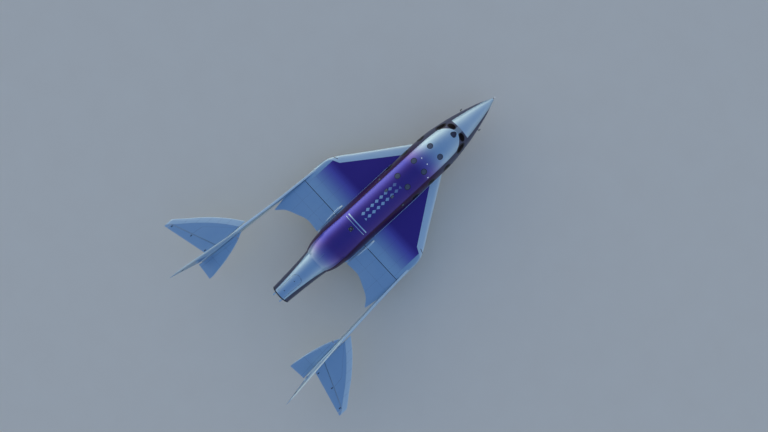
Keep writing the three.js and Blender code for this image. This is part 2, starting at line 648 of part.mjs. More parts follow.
// Main gear leg with its axle and brace, and the door
const LEG = { x: WHEEL_X - 185, radius: 55, braceRadius: 28, braceHeight: 620, braceReach: 620 };
const DOOR = { inner: 210, outer: 228, front: 380, back: 330, bottom: 700 };
placePair('gear_leg', join(
  bar([LEG.x, WHEEL_STATION, TYRE_RADIUS - 45], [LEG.x, WHEEL_STATION, WING_MID_Z], LEG.radius),
  bar([LEG.x - 40, WHEEL_STATION, TYRE_RADIUS], [WHEEL_X + 95, WHEEL_STATION, TYRE_RADIUS], AXLE_RADIUS),
  bar(
    [LEG.x, WHEEL_STATION, LEG.braceHeight],
    [LEG.x, WHEEL_STATION - LEG.braceReach, WING_MID_Z],
    LEG.braceRadius,
    THIN_SIDES,
  ),
).subtract(wingGrown), bareMetal);
placePair('gear_door', block(
  [WHEEL_X + DOOR.inner, WHEEL_X + DOOR.outer],
  [WHEEL_STATION - DOOR.front, WHEEL_STATION + DOOR.back],
  [DOOR.bottom, WING_MID_Z],
).subtract(wingGrown), white);

// Main wheels and tyres, turned about their axles
const wheelFrames = {
  l: turnedFrame(1, WHEEL_X, WHEEL_STATION, TYRE_RADIUS, Math.PI / 2),
  r: turnedFrame(-1, WHEEL_X, WHEEL_STATION, TYRE_RADIUS, Math.PI / 2),
};
placePair('wheel', lathe([
  [AXLE_RADIUS + GAP, -85], [70, -85], [70, -30], [140, -30], [140, -75], [RIM_RADIUS, -75],
  [RIM_RADIUS, 75], [140, 75], [140, 30], [70, 30], [70, 85], [AXLE_RADIUS + GAP, 85],
  [AXLE_RADIUS + GAP, -85],
]), bareMetal, wheelFrames);
placePair('tyre', lathe([
  [RIM_RADIUS + GAP, -72], [225, -92], [275, -82], [TYRE_RADIUS - 6, -50], [TYRE_RADIUS, -20],
  [TYRE_RADIUS, 20], [TYRE_RADIUS - 6, 50], [275, 82], [225, 92], [RIM_RADIUS + GAP, 72],
  [RIM_RADIUS + GAP, -72],
]), tyreRubber, wheelFrames);

// Nose skid and its leg
const SKID = { half: 75, seat: 91, legRadius: 45, braceRadius: 24, braceHeight: 420, braceReach: 560 };
const LEG_TOP = 1400;
place('skid_leg', join(
  bar([0, SKID_STATION, SKID.seat], [0, SKID_STATION, LEG_TOP], SKID.legRadius),
  bar(
    [0, SKID_STATION, SKID.braceHeight],
    [0, SKID_STATION - SKID.braceReach, LEG_TOP],
    SKID.braceRadius,
    THIN_SIDES,
  ),
).subtract(fuselage(500, nose, GAP)), bareMetal);
const skidOutline = [
  [-330, 70], [-260, 18], [-200, 0], [200, 0], [230, 40], [90, 45], [50, SKID.seat - GAP],
  [-50, SKID.seat - GAP], [-90, 50], [-260, 60],
].map(([y, z]) => [SKID_STATION + y, z]);
place('nose_skid', sidePrism(skidOutline, -SKID.half, SKID.half), darkMetal);

// The origin goes to the ground below the middle of the length
const finTipStation = HINGE_STATION + (FIN_TIP - HINGE_STATION) * Math.cos(BOOM_TOE_OUT);
aircraft.position.y = -(PROBE_TIP + finTipStation) / 2;

export default aircraft;
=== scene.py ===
# %% [markdown]
# # Dressing a rocket spaceplane
# The aircraft is seen from straight above in the photograph: a round cabin with portholes, a low delta
# wing, and two thin booms that carry fins and stabilisers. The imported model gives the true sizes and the
# moving bodies. This lesson makes fine skins for it, one piece at a time, and gives each one its finish.

# %% Frame and units
import json
import math

import bmesh
import bpy
import numpy as np
from mathutils import Matrix, Vector

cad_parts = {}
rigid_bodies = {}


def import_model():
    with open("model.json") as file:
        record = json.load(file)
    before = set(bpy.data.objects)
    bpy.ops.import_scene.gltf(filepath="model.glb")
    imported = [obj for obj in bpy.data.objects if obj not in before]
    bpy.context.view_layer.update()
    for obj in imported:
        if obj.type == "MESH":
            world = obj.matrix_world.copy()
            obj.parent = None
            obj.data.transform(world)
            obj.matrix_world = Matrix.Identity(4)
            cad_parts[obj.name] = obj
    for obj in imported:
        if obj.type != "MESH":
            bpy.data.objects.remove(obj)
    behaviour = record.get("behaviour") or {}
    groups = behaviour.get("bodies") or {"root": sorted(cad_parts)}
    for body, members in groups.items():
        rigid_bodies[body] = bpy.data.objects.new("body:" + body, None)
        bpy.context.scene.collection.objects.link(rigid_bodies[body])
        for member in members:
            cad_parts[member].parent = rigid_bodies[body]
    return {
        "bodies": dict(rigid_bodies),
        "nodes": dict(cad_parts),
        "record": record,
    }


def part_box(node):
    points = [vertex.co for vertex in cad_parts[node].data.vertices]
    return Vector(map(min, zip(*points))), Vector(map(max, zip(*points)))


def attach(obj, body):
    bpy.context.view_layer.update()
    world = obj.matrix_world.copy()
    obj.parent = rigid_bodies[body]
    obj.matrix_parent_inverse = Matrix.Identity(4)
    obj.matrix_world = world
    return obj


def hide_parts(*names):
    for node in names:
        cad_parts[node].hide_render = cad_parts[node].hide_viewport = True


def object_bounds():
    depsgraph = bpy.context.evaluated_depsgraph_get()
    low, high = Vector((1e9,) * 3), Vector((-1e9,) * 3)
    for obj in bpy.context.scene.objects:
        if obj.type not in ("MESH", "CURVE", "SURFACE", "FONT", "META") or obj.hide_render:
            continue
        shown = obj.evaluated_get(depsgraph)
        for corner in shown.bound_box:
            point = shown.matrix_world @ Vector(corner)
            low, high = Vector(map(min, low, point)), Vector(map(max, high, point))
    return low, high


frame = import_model()
cad_low, cad_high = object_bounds()
PROBE_TIP = -0.13
MIDDLE = PROBE_TIP - cad_low.y
print("CAD box", list(cad_low), list(cad_high), "station of the origin", MIDDLE)

# %% [markdown]
# ## Stations
# Aircraft builders place every frame by its station, the distance aft of the nose. The model's origin is
# in the middle, so one small function turns a station into a Y coordinate. Tables of a few stations are
# enough for a whole body when a smooth curve runs through them. A plain spline overshoots where the
# table turns sharply, so this one keeps each stretch between its two rows.


# %% Curves through tables
def at(station):
    return station - MIDDLE


def through(rows, where):
    """All columns of a table at any place, by a smooth curve"""
    table = np.array(rows, float)
    where = np.asarray(where, float)
    x, y = table[:, 0], table[:, 1:]
    step = np.diff(x)[:, None]
    slope = np.diff(y, axis=0) / step
    same = slope[:-1] * slope[1:] > 0
    total = np.where(same, slope[:-1] + slope[1:], 1.0)
    inner = np.where(same, 2 * slope[:-1] * slope[1:] / total, 0.0)
    tangent = np.vstack([slope[:1], inner, slope[-1:]])
    flat = np.clip(where.ravel(), x[0], x[-1])
    i = np.clip(np.searchsorted(x, flat, side="right") - 1, 0, len(x) - 2)
    h = step[i]
    t = (flat - x[i])[:, None] / h
    start, end = y[i], y[i + 1]
    value = (
        start * (2 * t**3 - 3 * t**2 + 1)
        + tangent[i] * h * (t**3 - 2 * t**2 + t)
        + end * (3 * t**2 - 2 * t**3)
        + tangent[i + 1] * h * (t**3 - t**2)
    )
    return value.reshape(where.shape + (y.shape[1],))


def straight(rows, where, column=1):
    """One column of a table, by straight lines between its rows"""
    table = np.array(rows, float)
    return np.interp(where, table[:, 0], table[:, column])


# %% [markdown]
# ## Meshes from rings
# Most of the aircraft is a row of rings with a skin between them. The helper below joins the rings with
# quads and closes the ends. A shell with a wall is the same thing with its rings in a loop: outer rings
# going aft, then inner rings coming back.


# %% Mesh helpers
def placed(name, data):
    obj = bpy.data.objects.new(name, data)
    bpy.context.scene.collection.objects.link(obj)
    return obj


def finished(name, solid):
    """An object from a bmesh, which is freed"""
    mesh = bpy.data.meshes.new(name)
    solid.to_mesh(mesh)
    solid.free()
    return placed(name, mesh)


def shade(obj, sharp):
    """Smooth, apart from edges sharper than that many degrees"""
    obj.data.shade_smooth()
    obj.data.set_sharp_from_angle(angle=math.radians(sharp))


def tidy_normals(obj, sharp):
    cleaned = bmesh.new()
    cleaned.from_mesh(obj.data)
    bmesh.ops.remove_doubles(cleaned, verts=cleaned.verts, dist=1e-6)
    bmesh.ops.recalc_face_normals(cleaned, faces=cleaned.faces)
    cleaned.to_mesh(obj.data)
    cleaned.free()
    shade(obj, sharp)


def mesh_object(name, points, faces, sharp=40):
    mesh = bpy.data.meshes.new(name)
    mesh.from_pydata([tuple(p) for p in points], [], faces)
    obj = placed(name, mesh)
    tidy_normals(obj, sharp)
    return obj


def lofted(name, rings, loop=False, sharp=40):
    """A skin over a row of rings, with ends, or a loop of rings without"""
    rings = np.asarray(rings, float)
    count, around = rings.shape[:2]
    faces = []
    for ring in range(count if loop else count - 1):
        here, there = ring * around, (ring + 1) % count * around
        for i in range(around):
            j = (i + 1) % around
            faces.append((here + i, here + j, there + j, there + i))
    if not loop:
        faces.append(tuple(range(around))[::-1])
        faces.append(tuple(range((count - 1) * around, count * around)))
    return mesh_object(name, rings.reshape(-1, 3), faces, sharp)


def cut(obj, *cutters, sharp=40):
    """Take the cutters away from a piece, and use them up"""
    for cutter in cutters:
        modifier = obj.modifiers.new("cut", "BOOLEAN")
        modifier.operation = "DIFFERENCE"
        modifier.solver = "EXACT"
        modifier.object = cutter
    graph = bpy.context.evaluated_depsgraph_get()
    mesh = bpy.data.meshes.new_from_object(obj.evaluated_get(graph))
    obj.modifiers.clear()
    obj.data = mesh
    for cutter in cutters:
        bpy.data.objects.remove(cutter)
    tidy_normals(obj, sharp)
    return obj


def joined(name, parts, sharp=40):
    """Several solids as one piece, which uses them up"""
    whole = bmesh.new()
    for part in parts:
        part.data.transform(part.matrix_world)
        whole.from_mesh(part.data)
        bpy.data.objects.remove(part)
    obj = finished(name, whole)
    shade(obj, sharp)
    return obj


def mirrored(obj, name):
    """The same piece on the other side of the aircraft"""
    twin = bmesh.new()
    twin.from_mesh(obj.data)
    bmesh.ops.transform(twin, matrix=Matrix.Scale(-1, 4, (1, 0, 0)), verts=twin.verts)
    bmesh.ops.reverse_faces(twin, faces=twin.faces)
    return finished(name, twin)


# %% [markdown]
# ## Small solids
# Rods, blocks, turned parts and bolt heads are all over an aircraft. Each is made with its edges broken
# by a small chamfer, because a perfectly sharp edge never catches the light.

# %% Rods, blocks and bolts
def directions(axis):
    """Two directions square to an axis"""
    axis = np.asarray(axis, float) / np.linalg.norm(axis)
    side = np.cross(axis, (0, 0, 1) if abs(axis[2]) < 0.9 else (0, 1, 0))
    side /= np.linalg.norm(side)
    return axis, side, np.cross(axis, side)


def turned(name, profile, start, axis, sides, loop=False, sharp=40):
    """A profile of (radius, distance along the axis) turned about the axis"""
    axis, side, up = directions(axis)
    turn = np.arange(sides) / sides * 2 * math.pi
    circle = np.cos(turn)[:, None] * side + np.sin(turn)[:, None] * up
    rings = [np.asarray(start) + axis * along + circle * max(radius, 1e-4) for radius, along in profile]
    return lofted(name, rings, loop, sharp)


def rod(name, start, end, radius, sides):
    """A round bar with a chamfer at both ends"""
    length = float(np.linalg.norm(np.subtract(end, start)))
    edge = radius * 0.15
    profile = [(radius - edge, 0), (radius, edge), (radius, length - edge), (radius - edge, length)]
    return turned(name, profile, start, np.subtract(end, start), sides)


def block(name, low, high, edge):
    """A box with broken edges"""
    solid = bmesh.new()
    bmesh.ops.create_cube(solid)
    size = Vector(high) - Vector(low)
    bmesh.ops.scale(solid, vec=size, verts=solid.verts)
    bmesh.ops.translate(solid, vec=Vector(low) + size / 2, verts=solid.verts)
    bmesh.ops.bevel(solid, geom=solid.edges[:], offset=edge, segments=2, affect="EDGES", profile=0.6)
    obj = finished(name, solid)
    tidy_normals(obj, 50)
    return obj


def bolts(name, spots, radius, height):
    """Hexagon heads on washers at a list of (point, direction)"""
    heads = []
    for point, direction in spots:
        start = Vector(point) - Vector(direction) * height * 0.5
        heads.append(turned("washer", [
            (1.45 * radius, 0), (1.45 * radius, 0.7 * height), (1.35 * radius, 0.8 * height)
        ], start, direction, 16))
        heads.append(turned("head", [
            (radius, 0.7 * height), (radius, 1.6 * height), (0.86 * radius, 1.8 * height)
        ], start, direction, 6, sharp=20))
    return joined(name, heads, 30)


# %% [markdown]
# ## Shader maths
# Nodes are quick to wire by hand and slow to read. A small class that wraps a socket lets a mask be
# written as a sum. Every operator adds the Math node that it stands for.


# %% Sockets that add up
class Wire:
    def __init__(self, tree, socket):
        self.tree = tree
        self.socket = socket

    def maths(self, operation, *others, first=None):
        node = self.tree.nodes.new("ShaderNodeMath")
        node.operation = operation
        values = [self, *others] if first is None else [first, self, *others]
        for slot, value in zip(node.inputs, values):
            put(self.tree, slot, value)
        return Wire(self.tree, node.outputs[0])

    def __add__(self, other):
        return self.maths("ADD", other)

    def __radd__(self, other):
        return self.maths("ADD", other)

    def __sub__(self, other):
        return self.maths("SUBTRACT", other)

    def __rsub__(self, other):
        return self.maths("SUBTRACT", first=other)

    def __mul__(self, other):
        return self.maths("MULTIPLY", other)

    def __rmul__(self, other):
        return self.maths("MULTIPLY", other)

    def __truediv__(self, other):
        return self.maths("DIVIDE", other)

    def __rtruediv__(self, other):
        return self.maths("DIVIDE", first=other)

    def __pow__(self, other):
        return self.maths("POWER", other)

    def __rpow__(self, other):
        return self.maths("POWER", first=other)

    def __abs__(self):
        return self.maths("ABSOLUTE")

    def above(self, level, soft):
        """1 above the level, 0 below, over a soft edge"""
        node = self.tree.nodes.new("ShaderNodeMapRange")
        node.interpolation_type = "SMOOTHSTEP"
        put(self.tree, node.inputs["Value"], self - level)
        node.inputs["From Min"].default_value = -soft
        node.inputs["From Max"].default_value = soft
        return Wire(self.tree, node.outputs["Result"])

    def below(self, level, soft):
        return 1 - self.above(level, soft)

    def least(self, other):
        return self.maths("MINIMUM", other)

    def most(self, other):
        return self.maths("MAXIMUM", other)


def put(tree, slot, value):
    if isinstance(value, Wire):
        tree.links.new(value.socket, slot)
    elif isinstance(value, tuple) and len(value) == 3 and slot.type == "RGBA":
        slot.default_value = (*value, 1.0)
    else:
        slot.default_value = value


class Tree:
    """A node tree whose nodes are added by one call each"""

    def __init__(self, tree):
        self.tree = tree

    def node(self, kind, settings=(), out=0, **values):
        node = self.tree.nodes.new(kind)
        for key, value in dict(settings).items():
            setattr(node, key, value)
        for key, value in values.items():
            put(self.tree, node.inputs[key.replace("_", " ")], value)
        return Wire(self.tree, node.outputs[out])

    def place(self, output="Object"):
        """Coordinates as a vector and as three wires"""
        coordinates = self.node("ShaderNodeTexCoord", out=output)
        split = self.tree.nodes.new("ShaderNodeSeparateXYZ")
        put(self.tree, split.inputs[0], coordinates)
        return coordinates, *(Wire(self.tree, split.outputs[i]) for i in range(3))

    def attribute(self, name):
        return self.node("ShaderNodeAttribute", {"attribute_name": name}, out="Fac")

    def noise(self, where, scale, detail, roughness=0.5):
        return self.node(
            "ShaderNodeTexNoise", Vector=where, Scale=scale, Detail=detail, Roughness=roughness
        )

    def blend(self, share, first, second):
        node = self.tree.nodes.new("ShaderNodeMix")
        node.data_type = "RGBA"
        put(self.tree, node.inputs["Factor"], share)
        put(self.tree, node.inputs[6], first)
        put(self.tree, node.inputs[7], second)
        return Wire(self.tree, node.outputs[2])


class Finish(Tree):
    """A material with one principled shader"""

    def __init__(self, name, **constants):
        self.material = bpy.data.materials.new(name)
        self.material.use_nodes = True
        super().__init__(self.material.node_tree)
        self.shader = self.tree.nodes["Principled BSDF"]
        for socket, value in constants.items():
            put(self.tree, self.shader.inputs[socket.replace("_", " ")], value)

    def feed(self, socket, value):
        put(self.tree, self.shader.inputs[socket], value)

    def bump(self, height, distance, strength):
        self.feed("Normal", self.node(
            "ShaderNodeBump", Height=height, Distance=distance, Strength=strength
        ))


def dress(obj, finish, body, replaces=()):
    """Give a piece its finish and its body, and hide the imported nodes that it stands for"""
    obj.data.materials.clear()
    obj.data.materials.append(finish.material)
    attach(obj, body)
    if replaces:
        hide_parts(*replaces)


def dress_pair(obj, finish, bodies, replaces=()):
    """The piece on port and its mirror on starboard. Names end in l and r"""
    twin = mirrored(obj, obj.name[:-1] + "r")
    for piece, side in ((obj, "l"), (twin, "r")):
        body = bodies if bodies in frame["bodies"] else bodies + "_" + side
        dress(piece, finish, body, [node + "_" + side for node in replaces])


# %% [markdown]
# ## Paint
# From the photograph, the top of the body and the wings wear one scheme: pale blue-white at both ends,
# deep violet in the middle, with soft fades along the aircraft and crisp edges across it. The sides of
# the body carry a painted reflection of a dark ground: grey ahead of the cabin and dark maroon beside
# it. The scheme could be painted by vertex colours, but a fade needs no vertices when it is a function
# of the station, so it is made of masks in the shader.

# %% Paint colours and masks
PALE = (0.42, 0.60, 0.74)
PALE_LIGHT = (0.50, 0.67, 0.78)
# A light pale for painted highlights on the body, and for a lighter strip of the wing aft of its rear spar
RIM = (0.62, 0.80, 0.86)
# White for the hinge fittings' paint, and for painted highlights on leading edges, fin, boom and fillet
WHITE_AND_HIGHLIGHT = (0.82, 0.97, 0.97)
MARK = (0.55, 0.74, 0.86)
# Blue for painted shade
SHADE_BLUE = (0.24, 0.42, 0.62)
# Blue of the rudder: painted shade, like the fin's rear
RUDDER_SHADE_BLUE = (0.27, 0.45, 0.64)
RUDDER_SHADE_LIGHT = (0.31, 0.50, 0.68)
BODY_PURPLE = (0.195, 0.153, 0.490)
WING_PURPLE = (0.180, 0.135, 0.540)
VIOLET = (0.085, 0.040, 0.290)
VIOLET_LIGHT = (0.150, 0.090, 0.420)
# Violet with a painted highlight, for the port shoulder, and with painted shade, for the starboard shoulder
VIOLET_PORT_HIGHLIGHT = (0.080, 0.085, 0.540)
VIOLET_SHADE = (0.045, 0.018, 0.235)
# Painted reflection of a dark ground on the body's sides, in grey, maroon and a lighter grey; the grey also
# draws panel lines
REFLECTION_AND_SEAM_GREY = (0.088, 0.098, 0.162)
REFLECTION_MAROON = (0.046, 0.008, 0.068)
REFLECTION_GREY_LIGHT = (0.095, 0.080, 0.120)
PILLAR = (0.30, 0.38, 0.44)
# Dark grey for painted shade beside hinge gaps, and for the tick on the wing's leading edge
GAP_SHADE_AND_MARK_GREY = (0.030, 0.030, 0.040)
SURROUND = (0.010, 0.007, 0.011)
SEAM_HALF = 0.003


def paint_grain(finish, where):
    """Faint clouding of a sprayed coat, in its colour and its roughness"""
    cloud = finish.noise(where, 0.9, 4.0, 0.6)
    finish.feed("Roughness", 0.34 + (cloud - 0.5) * 0.08)
    return cloud


def stripe(value, level, half=SEAM_HALF, soft=0.002):
    """1 on a line of that half width"""
    return abs(value - level).below(half, soft)


def seams_at(value, *levels, half=SEAM_HALF):
    """1 on the panel line at each level"""
    lines = stripe(value, levels[0], half)
    for level in levels[1:]:
        lines = lines.most(stripe(value, level, half))
    return lines


def between(value, start, start_soft, end, end_soft):
    """1 from one level to another, with a soft edge at each"""
    return value.above(start, start_soft) * value.below(end, end_soft)


def faded(finish, early, late, pale, purple, violet):
    """Pale paint that turns purple over the early share and violet over the late one"""
    return finish.blend(late, finish.blend(early, pale, purple), violet)


# %% Body paint
NOSE_END = 2.70
TAIL_START = 12.86
PURPLE_FADES = {"ahead": (4.87, 0.60), "behind": (12.62, 0.55)}
VIOLET_FADES = {"ahead": (5.60, 0.36), "behind": (12.00, 0.32)}
GLAZING = {"front": 2.695, "back": 2.985, "curve": 0.00026}
BODY_SEAMS = (8.10, 5.27, 9.60, 11.5)
PORTHOLE_STATIONS = (4.52, 5.65, 6.79)
LOW_PORTHOLES = 72.0
SURROUNDS = [(3.33, 53.0, 0.965, 0.330, 0.225, 12)]
SURROUNDS += [(station, LOW_PORTHOLES, 1.09, 0.268, 0.268, 0) for station in PORTHOLE_STATIONS]
DIAMOND = {"first": 7.2, "pitch": 0.31, "long": 0.13, "wide": 0.095, "row": 0.15}


def top_design(x, station):
    """Two staggered rows of diamonds that fade towards the nose, and a pair of cross stripes"""
    step = (station - DIAMOND["first"]) / DIAMOND["pitch"] + x.above(0.0, 0.001) * 0.5
    along = abs(step - step.maths("FLOOR") - 0.5) * (DIAMOND["pitch"] / DIAMOND["long"])
    diamond = (along + abs(abs(x) - DIAMOND["row"]) / DIAMOND["wide"]).below(1.0, 0.05)
    rows = diamond * between(station, 7.05, 0.01, 9.5, 0.01)
    fade = station.above(7.6, 1.0) * 0.75 + 0.25
    bars = stripe(station, 9.93, 0.030, 0.004).most(stripe(station, 10.10, 0.014, 0.004))
    return (rows * fade).most(bars * abs(x).below(0.66, 0.004))


def surrounds(station, around):
    """Dark bands round the side windows, each an oval at a station, an angle and a body radius"""
    dark = 0.0
    for middle, angle, radius, long, wide, tilt in SURROUNDS:
        turn = math.radians(tilt)
        ahead = station - middle
        down = (around - angle) * math.radians(radius)
        along = (ahead * math.cos(turn) + down * math.sin(turn)) / long
        across = (down * math.cos(turn) - ahead * math.sin(turn)) / wide
        dark = (along * along + across * across).below(1.0, 0.04).most(dark)
    return dark


def body_paint():
    """A painted top between sides in painted reflection of a dark ground, and a dark hood round the
    cockpit's panes
    """
    finish = Finish("body_paint", Specular_IOR_Level=0.35, Coat_Roughness=0.08)
    where, x, y, z = finish.place()
    station = y + MIDDLE
    around = finish.attribute("around")
    inside = finish.attribute("inside")
    cloud = paint_grain(finish, where)
    port_half, starboard_half = x.above(0.0, 0.2), x.below(0.0, 0.2)
    shoulder = around.above(28.0, 14.0)
    behind_glazing = station - (around * around * GLAZING["curve"] + GLAZING["back"])
    glazing = station.above(GLAZING["front"], 0.006) * behind_glazing.below(0.0, 0.008)

    # Painted highlights: a light band just inside the nose panel's edge, and another just behind the
    # glazing
    nose_edge_highlight = inside.below(1.8, 1.0) * station.below(NOSE_END, 0.002)
    hood_edge_highlight = behind_glazing.below(0.035, 0.02) * station.above(2.9, 0.1)
    pale = finish.blend(cloud, PALE, PALE_LIGHT)
    pale = finish.blend(nose_edge_highlight.most(hood_edge_highlight) * 0.6, pale, RIM)
    port = shoulder * port_half
    # Painted highlight on the port shoulder of the aft body, and painted shade on the port side of the tail
    # cone
    pale = finish.blend(port * between(station, 12.45, 0.15, TAIL_START + 0.005, 0.004), pale, RIM)
    pale = finish.blend(port * station.above(TAIL_START + 0.005, 0.004) * 0.35, pale, SHADE_BLUE)

    # Painted highlight on the violet's port shoulder, and painted shade on its starboard shoulder
    violet = finish.blend(port, VIOLET, VIOLET_PORT_HIGHLIGHT)
    violet = finish.blend(shoulder * starboard_half, violet, VIOLET_SHADE)
    service = between(station, 7.0, 0.02, 10.57, 0.02) * around.below(44.0, 0.5)
    violet = finish.blend(service * 0.10 + cloud * 0.10, violet, VIOLET_LIGHT)
    violet = finish.blend(top_design(x, station), violet, MARK)
    slanted = station - around * port_half * 0.005
    early, late = [
        slanted.above(*fades["ahead"]) * station.below(*fades["behind"])
        for fades in (PURPLE_FADES, VIOLET_FADES)
    ]
    top = faded(finish, early, late, pale, BODY_PURPLE, violet)

    # The sides: a painted reflection of a dark ground, grey ahead of the cabin and maroon beside it
    side = finish.blend(cloud * 0.5, REFLECTION_AND_SEAM_GREY, REFLECTION_GREY_LIGHT)
    side = finish.blend(between(station, 5.0, 0.8, 12.9, 0.2), side, REFLECTION_MAROON)
    side = finish.blend(glazing * around.below(11.0, 2.0), side, PILLAR)

    seams = seams_at(station, *BODY_SEAMS).most(stripe(around, 90.0, 0.12, 0.08))
    seams = seams * station.above(NOSE_END + 0.01, 0.002)
    is_top = inside.above(0.0, 0.5) * (1 - glazing)
    colour = finish.blend(seams * 0.6, finish.blend(is_top, side, top), REFLECTION_AND_SEAM_GREY)
    dark = surrounds(station, around)
    finish.feed("Base Color", finish.blend(dark, colour, SURROUND))
    finish.feed("Metallic", (0.5 + 0.4 * is_top) * (1 - dark))
    finish.feed("Coat Weight", 0.08 + 0.52 * is_top)
    finish.bump(1 - seams, 0.002, 0.5)
    return finish


# %% Wing and tail paint
WING_MID = 1.42
WING_BORDER = 3.42
# Panel lines: distances out for ribs, stations for spars, heights on the fin, stations on the boom
WING_RIBS = (2.05, 2.95)
WING_SPARS = (8.95, 9.9)
FLAP_SPAR = 11.35
TAIL_RIBS = (4.62, 5.00, 5.38, 5.76, 6.18)
FIN_SEAMS = (2.72, 3.30, 4.02)
BOOM_SEAMS = (13.31, 14.40, 15.70, 16.62)
# Widths of the pale bands along the leading edges of the stabiliser and the fin
TAIL_BAND = 0.42
FIN_BAND = 0.30
# Where the elevon's painted shade beside its hinge gap starts, distance out and station, and how far aft it
# runs for each metre out
ELEVON_LINE = {"out": 4.25, "station": 16.24, "slope": 0.40255}


def pale_paint(name, marks=None, tint=PALE, light=PALE_LIGHT):
    """marks takes the finish, distance out, station and height, and gives masks by name"""
    finish = Finish(name, Coat_Weight=0.25, Coat_Roughness=0.08)
    where, x, y, z = finish.place()
    cloud = paint_grain(finish, where)
    flow = finish.node("ShaderNodeMapping", Vector=where, Scale=(6.0, 0.5, 6.0))
    streak = finish.noise(flow, 1.0, 3.0, 0.6)
    colour = finish.blend(cloud * 0.5 + streak * 0.3, tint, light)
    masks = marks(finish, abs(x), y + MIDDLE, z) if marks else {}
    # Masks: white paints highlights and the stabiliser's lighter leading edge, deep paints shade, seal
    # paints shade beside hinge gaps, and line draws panel lines
    for mask, paint in (("deep", SHADE_BLUE), ("white", WHITE_AND_HIGHLIGHT), ("line", REFLECTION_AND_SEAM_GREY), ("seal", GAP_SHADE_AND_MARK_GREY)):
        if mask in masks:
            colour = finish.blend(masks[mask], colour, paint)
    finish.feed("Base Color", colour)
    finish.feed("Metallic", 0.9 - masks["white"] * 0.6 if "white" in masks else 0.9)
    if "line" in masks:
        finish.bump(1 - masks["line"], 0.002, 0.5)
    return finish


def wing_seams(out, station):
    """Joints between the wing's skins, the tick on its leading edge, and painted shade along the hinge gap
    """
    joint = seams_at(out, *WING_RIBS) * station.above(8.9, 0.002)
    spars = seams_at(station, *WING_SPARS) * out.below(WING_BORDER, 0.002)
    tip = stripe(out, 3.43, 0.004) * station.above(8.66, 0.002)
    tick = stripe(station - (out - 3.5) * 0.4, 8.50, 0.016) * out.above(3.3, 0.004)
    # Painted shade on the wing's rear edge, beside the hinge gap
    seal = station.above(10.502, 0.003)
    return joint.most(spars).most(tip), tick.most(seal)


def wing_paint():
    """Violet inside a pale border: the leading edge's, which bends near the tip, and the tip's own. The
    leading edge's band is whitened as a painted highlight
    """
    finish = Finish("wing_paint", Coat_Weight=0.25, Coat_Roughness=0.08)
    where, x, y, z = finish.place()
    out = abs(x)
    station = y + MIDDLE
    cloud = paint_grain(finish, where)
    inner_edge = station - (5.85 + (out - 1.18) * (2.65 / 1.90))
    outer_edge = station - (8.50 + (out - 3.08) * (0.17 / 0.34))
    behind_edge = inner_edge.most(outer_edge)
    inside = behind_edge.least(WING_BORDER - out).above(0.0, 0.004) * z.above(WING_MID, 0.002)
    pale = finish.blend(cloud, PALE, PALE_LIGHT)
    pale = finish.blend(station.above(WING_SPARS[1], 0.004) * 0.25, pale, RIM)
    violet = finish.blend(cloud * 0.2, VIOLET, VIOLET_LIGHT)
    early, late = station.below(9.63, 0.76), station.below(8.87, 0.28)
    colour = finish.blend(inside, pale, faded(finish, early, late, pale, WING_PURPLE, violet))
    band_edge = stripe(behind_edge, 0.0, 0.005) * out.below(WING_BORDER, 0.002)
    # Painted highlight: the pale band along the leading edge is whitened and made less metallic
    edge_band_highlight = behind_edge.below(0.0, 0.004)
    colour = finish.blend(edge_band_highlight * 0.60, colour, WHITE_AND_HIGHLIGHT)
    joints, dark = wing_seams(out, station)
    colour = finish.blend((joints * 0.5).most(band_edge * 0.5), colour, REFLECTION_AND_SEAM_GREY)
    finish.feed("Base Color", finish.blend(dark, colour, GAP_SHADE_AND_MARK_GREY))
    finish.feed("Metallic", 0.9 - edge_band_highlight * 0.35)
    finish.bump(1 - joints.most(band_edge), 0.002, 0.5)
    return finish


def flap_marks(finish, out, station, z):
    """Two ribs and a spar"""
    return {"line": seams_at(out, *WING_RIBS).most(stripe(station, FLAP_SPAR)) * 0.6}


def stabiliser_marks(finish, out, station, z):
    """A paler band on the outboard half's leading edge, partly a lighter skin and partly a painted
    highlight, its panel lines, and painted shade beside the hinge gap
    """
    edge = finish.attribute("edge")
    outboard = out.above(4.0, 0.01)
    # The leading edge's band: a lighter skin, whitened further as a painted highlight
    lighter_band_and_highlight = edge.below(TAIL_BAND, 0.01) * outboard
    ribs = seams_at(out, *TAIL_RIBS) * edge.below(TAIL_BAND, 0.002)
    ribs = ribs.most(stripe(edge, TAIL_BAND))
    front_spar = stripe(station - (out - 4.184) * 1.04, 14.80, 0.005) * out.below(5.38, 0.004)
    rib = stripe(out - (station - 16.04) * 0.144, 5.377, 0.005) * station.above(16.04, 0.004)
    # Painted shade on the rear edge, beside the elevon's gap
    seal = (station - (out - 4.25) * 0.4117).above(16.169, 0.002) * outboard
    root_line = stripe(out - (station - 15.0) * 0.082, 3.66, 0.004) * station.above(15.25, 0.004)
    root_line = root_line.most(seams_at(station, 15.9, 16.75, half=0.004))
    root_line = root_line.most(stripe(edge, 0.20, 0.004)) * (1 - outboard)
    lines = (ribs.most(front_spar).most(rib) * outboard).most(root_line)
    return {"line": lines * 0.6, "white": lighter_band_and_highlight * 0.65, "seal": seal * out.below(6.61, 0.002) * 0.25}


def elevon_marks(finish, out, station, z):
    """Painted shade beside the hinge gap"""
    front = station - (out - ELEVON_LINE["out"]) * ELEVON_LINE["slope"]
    return {"seal": front.below(ELEVON_LINE["station"], 0.004) * 0.15}


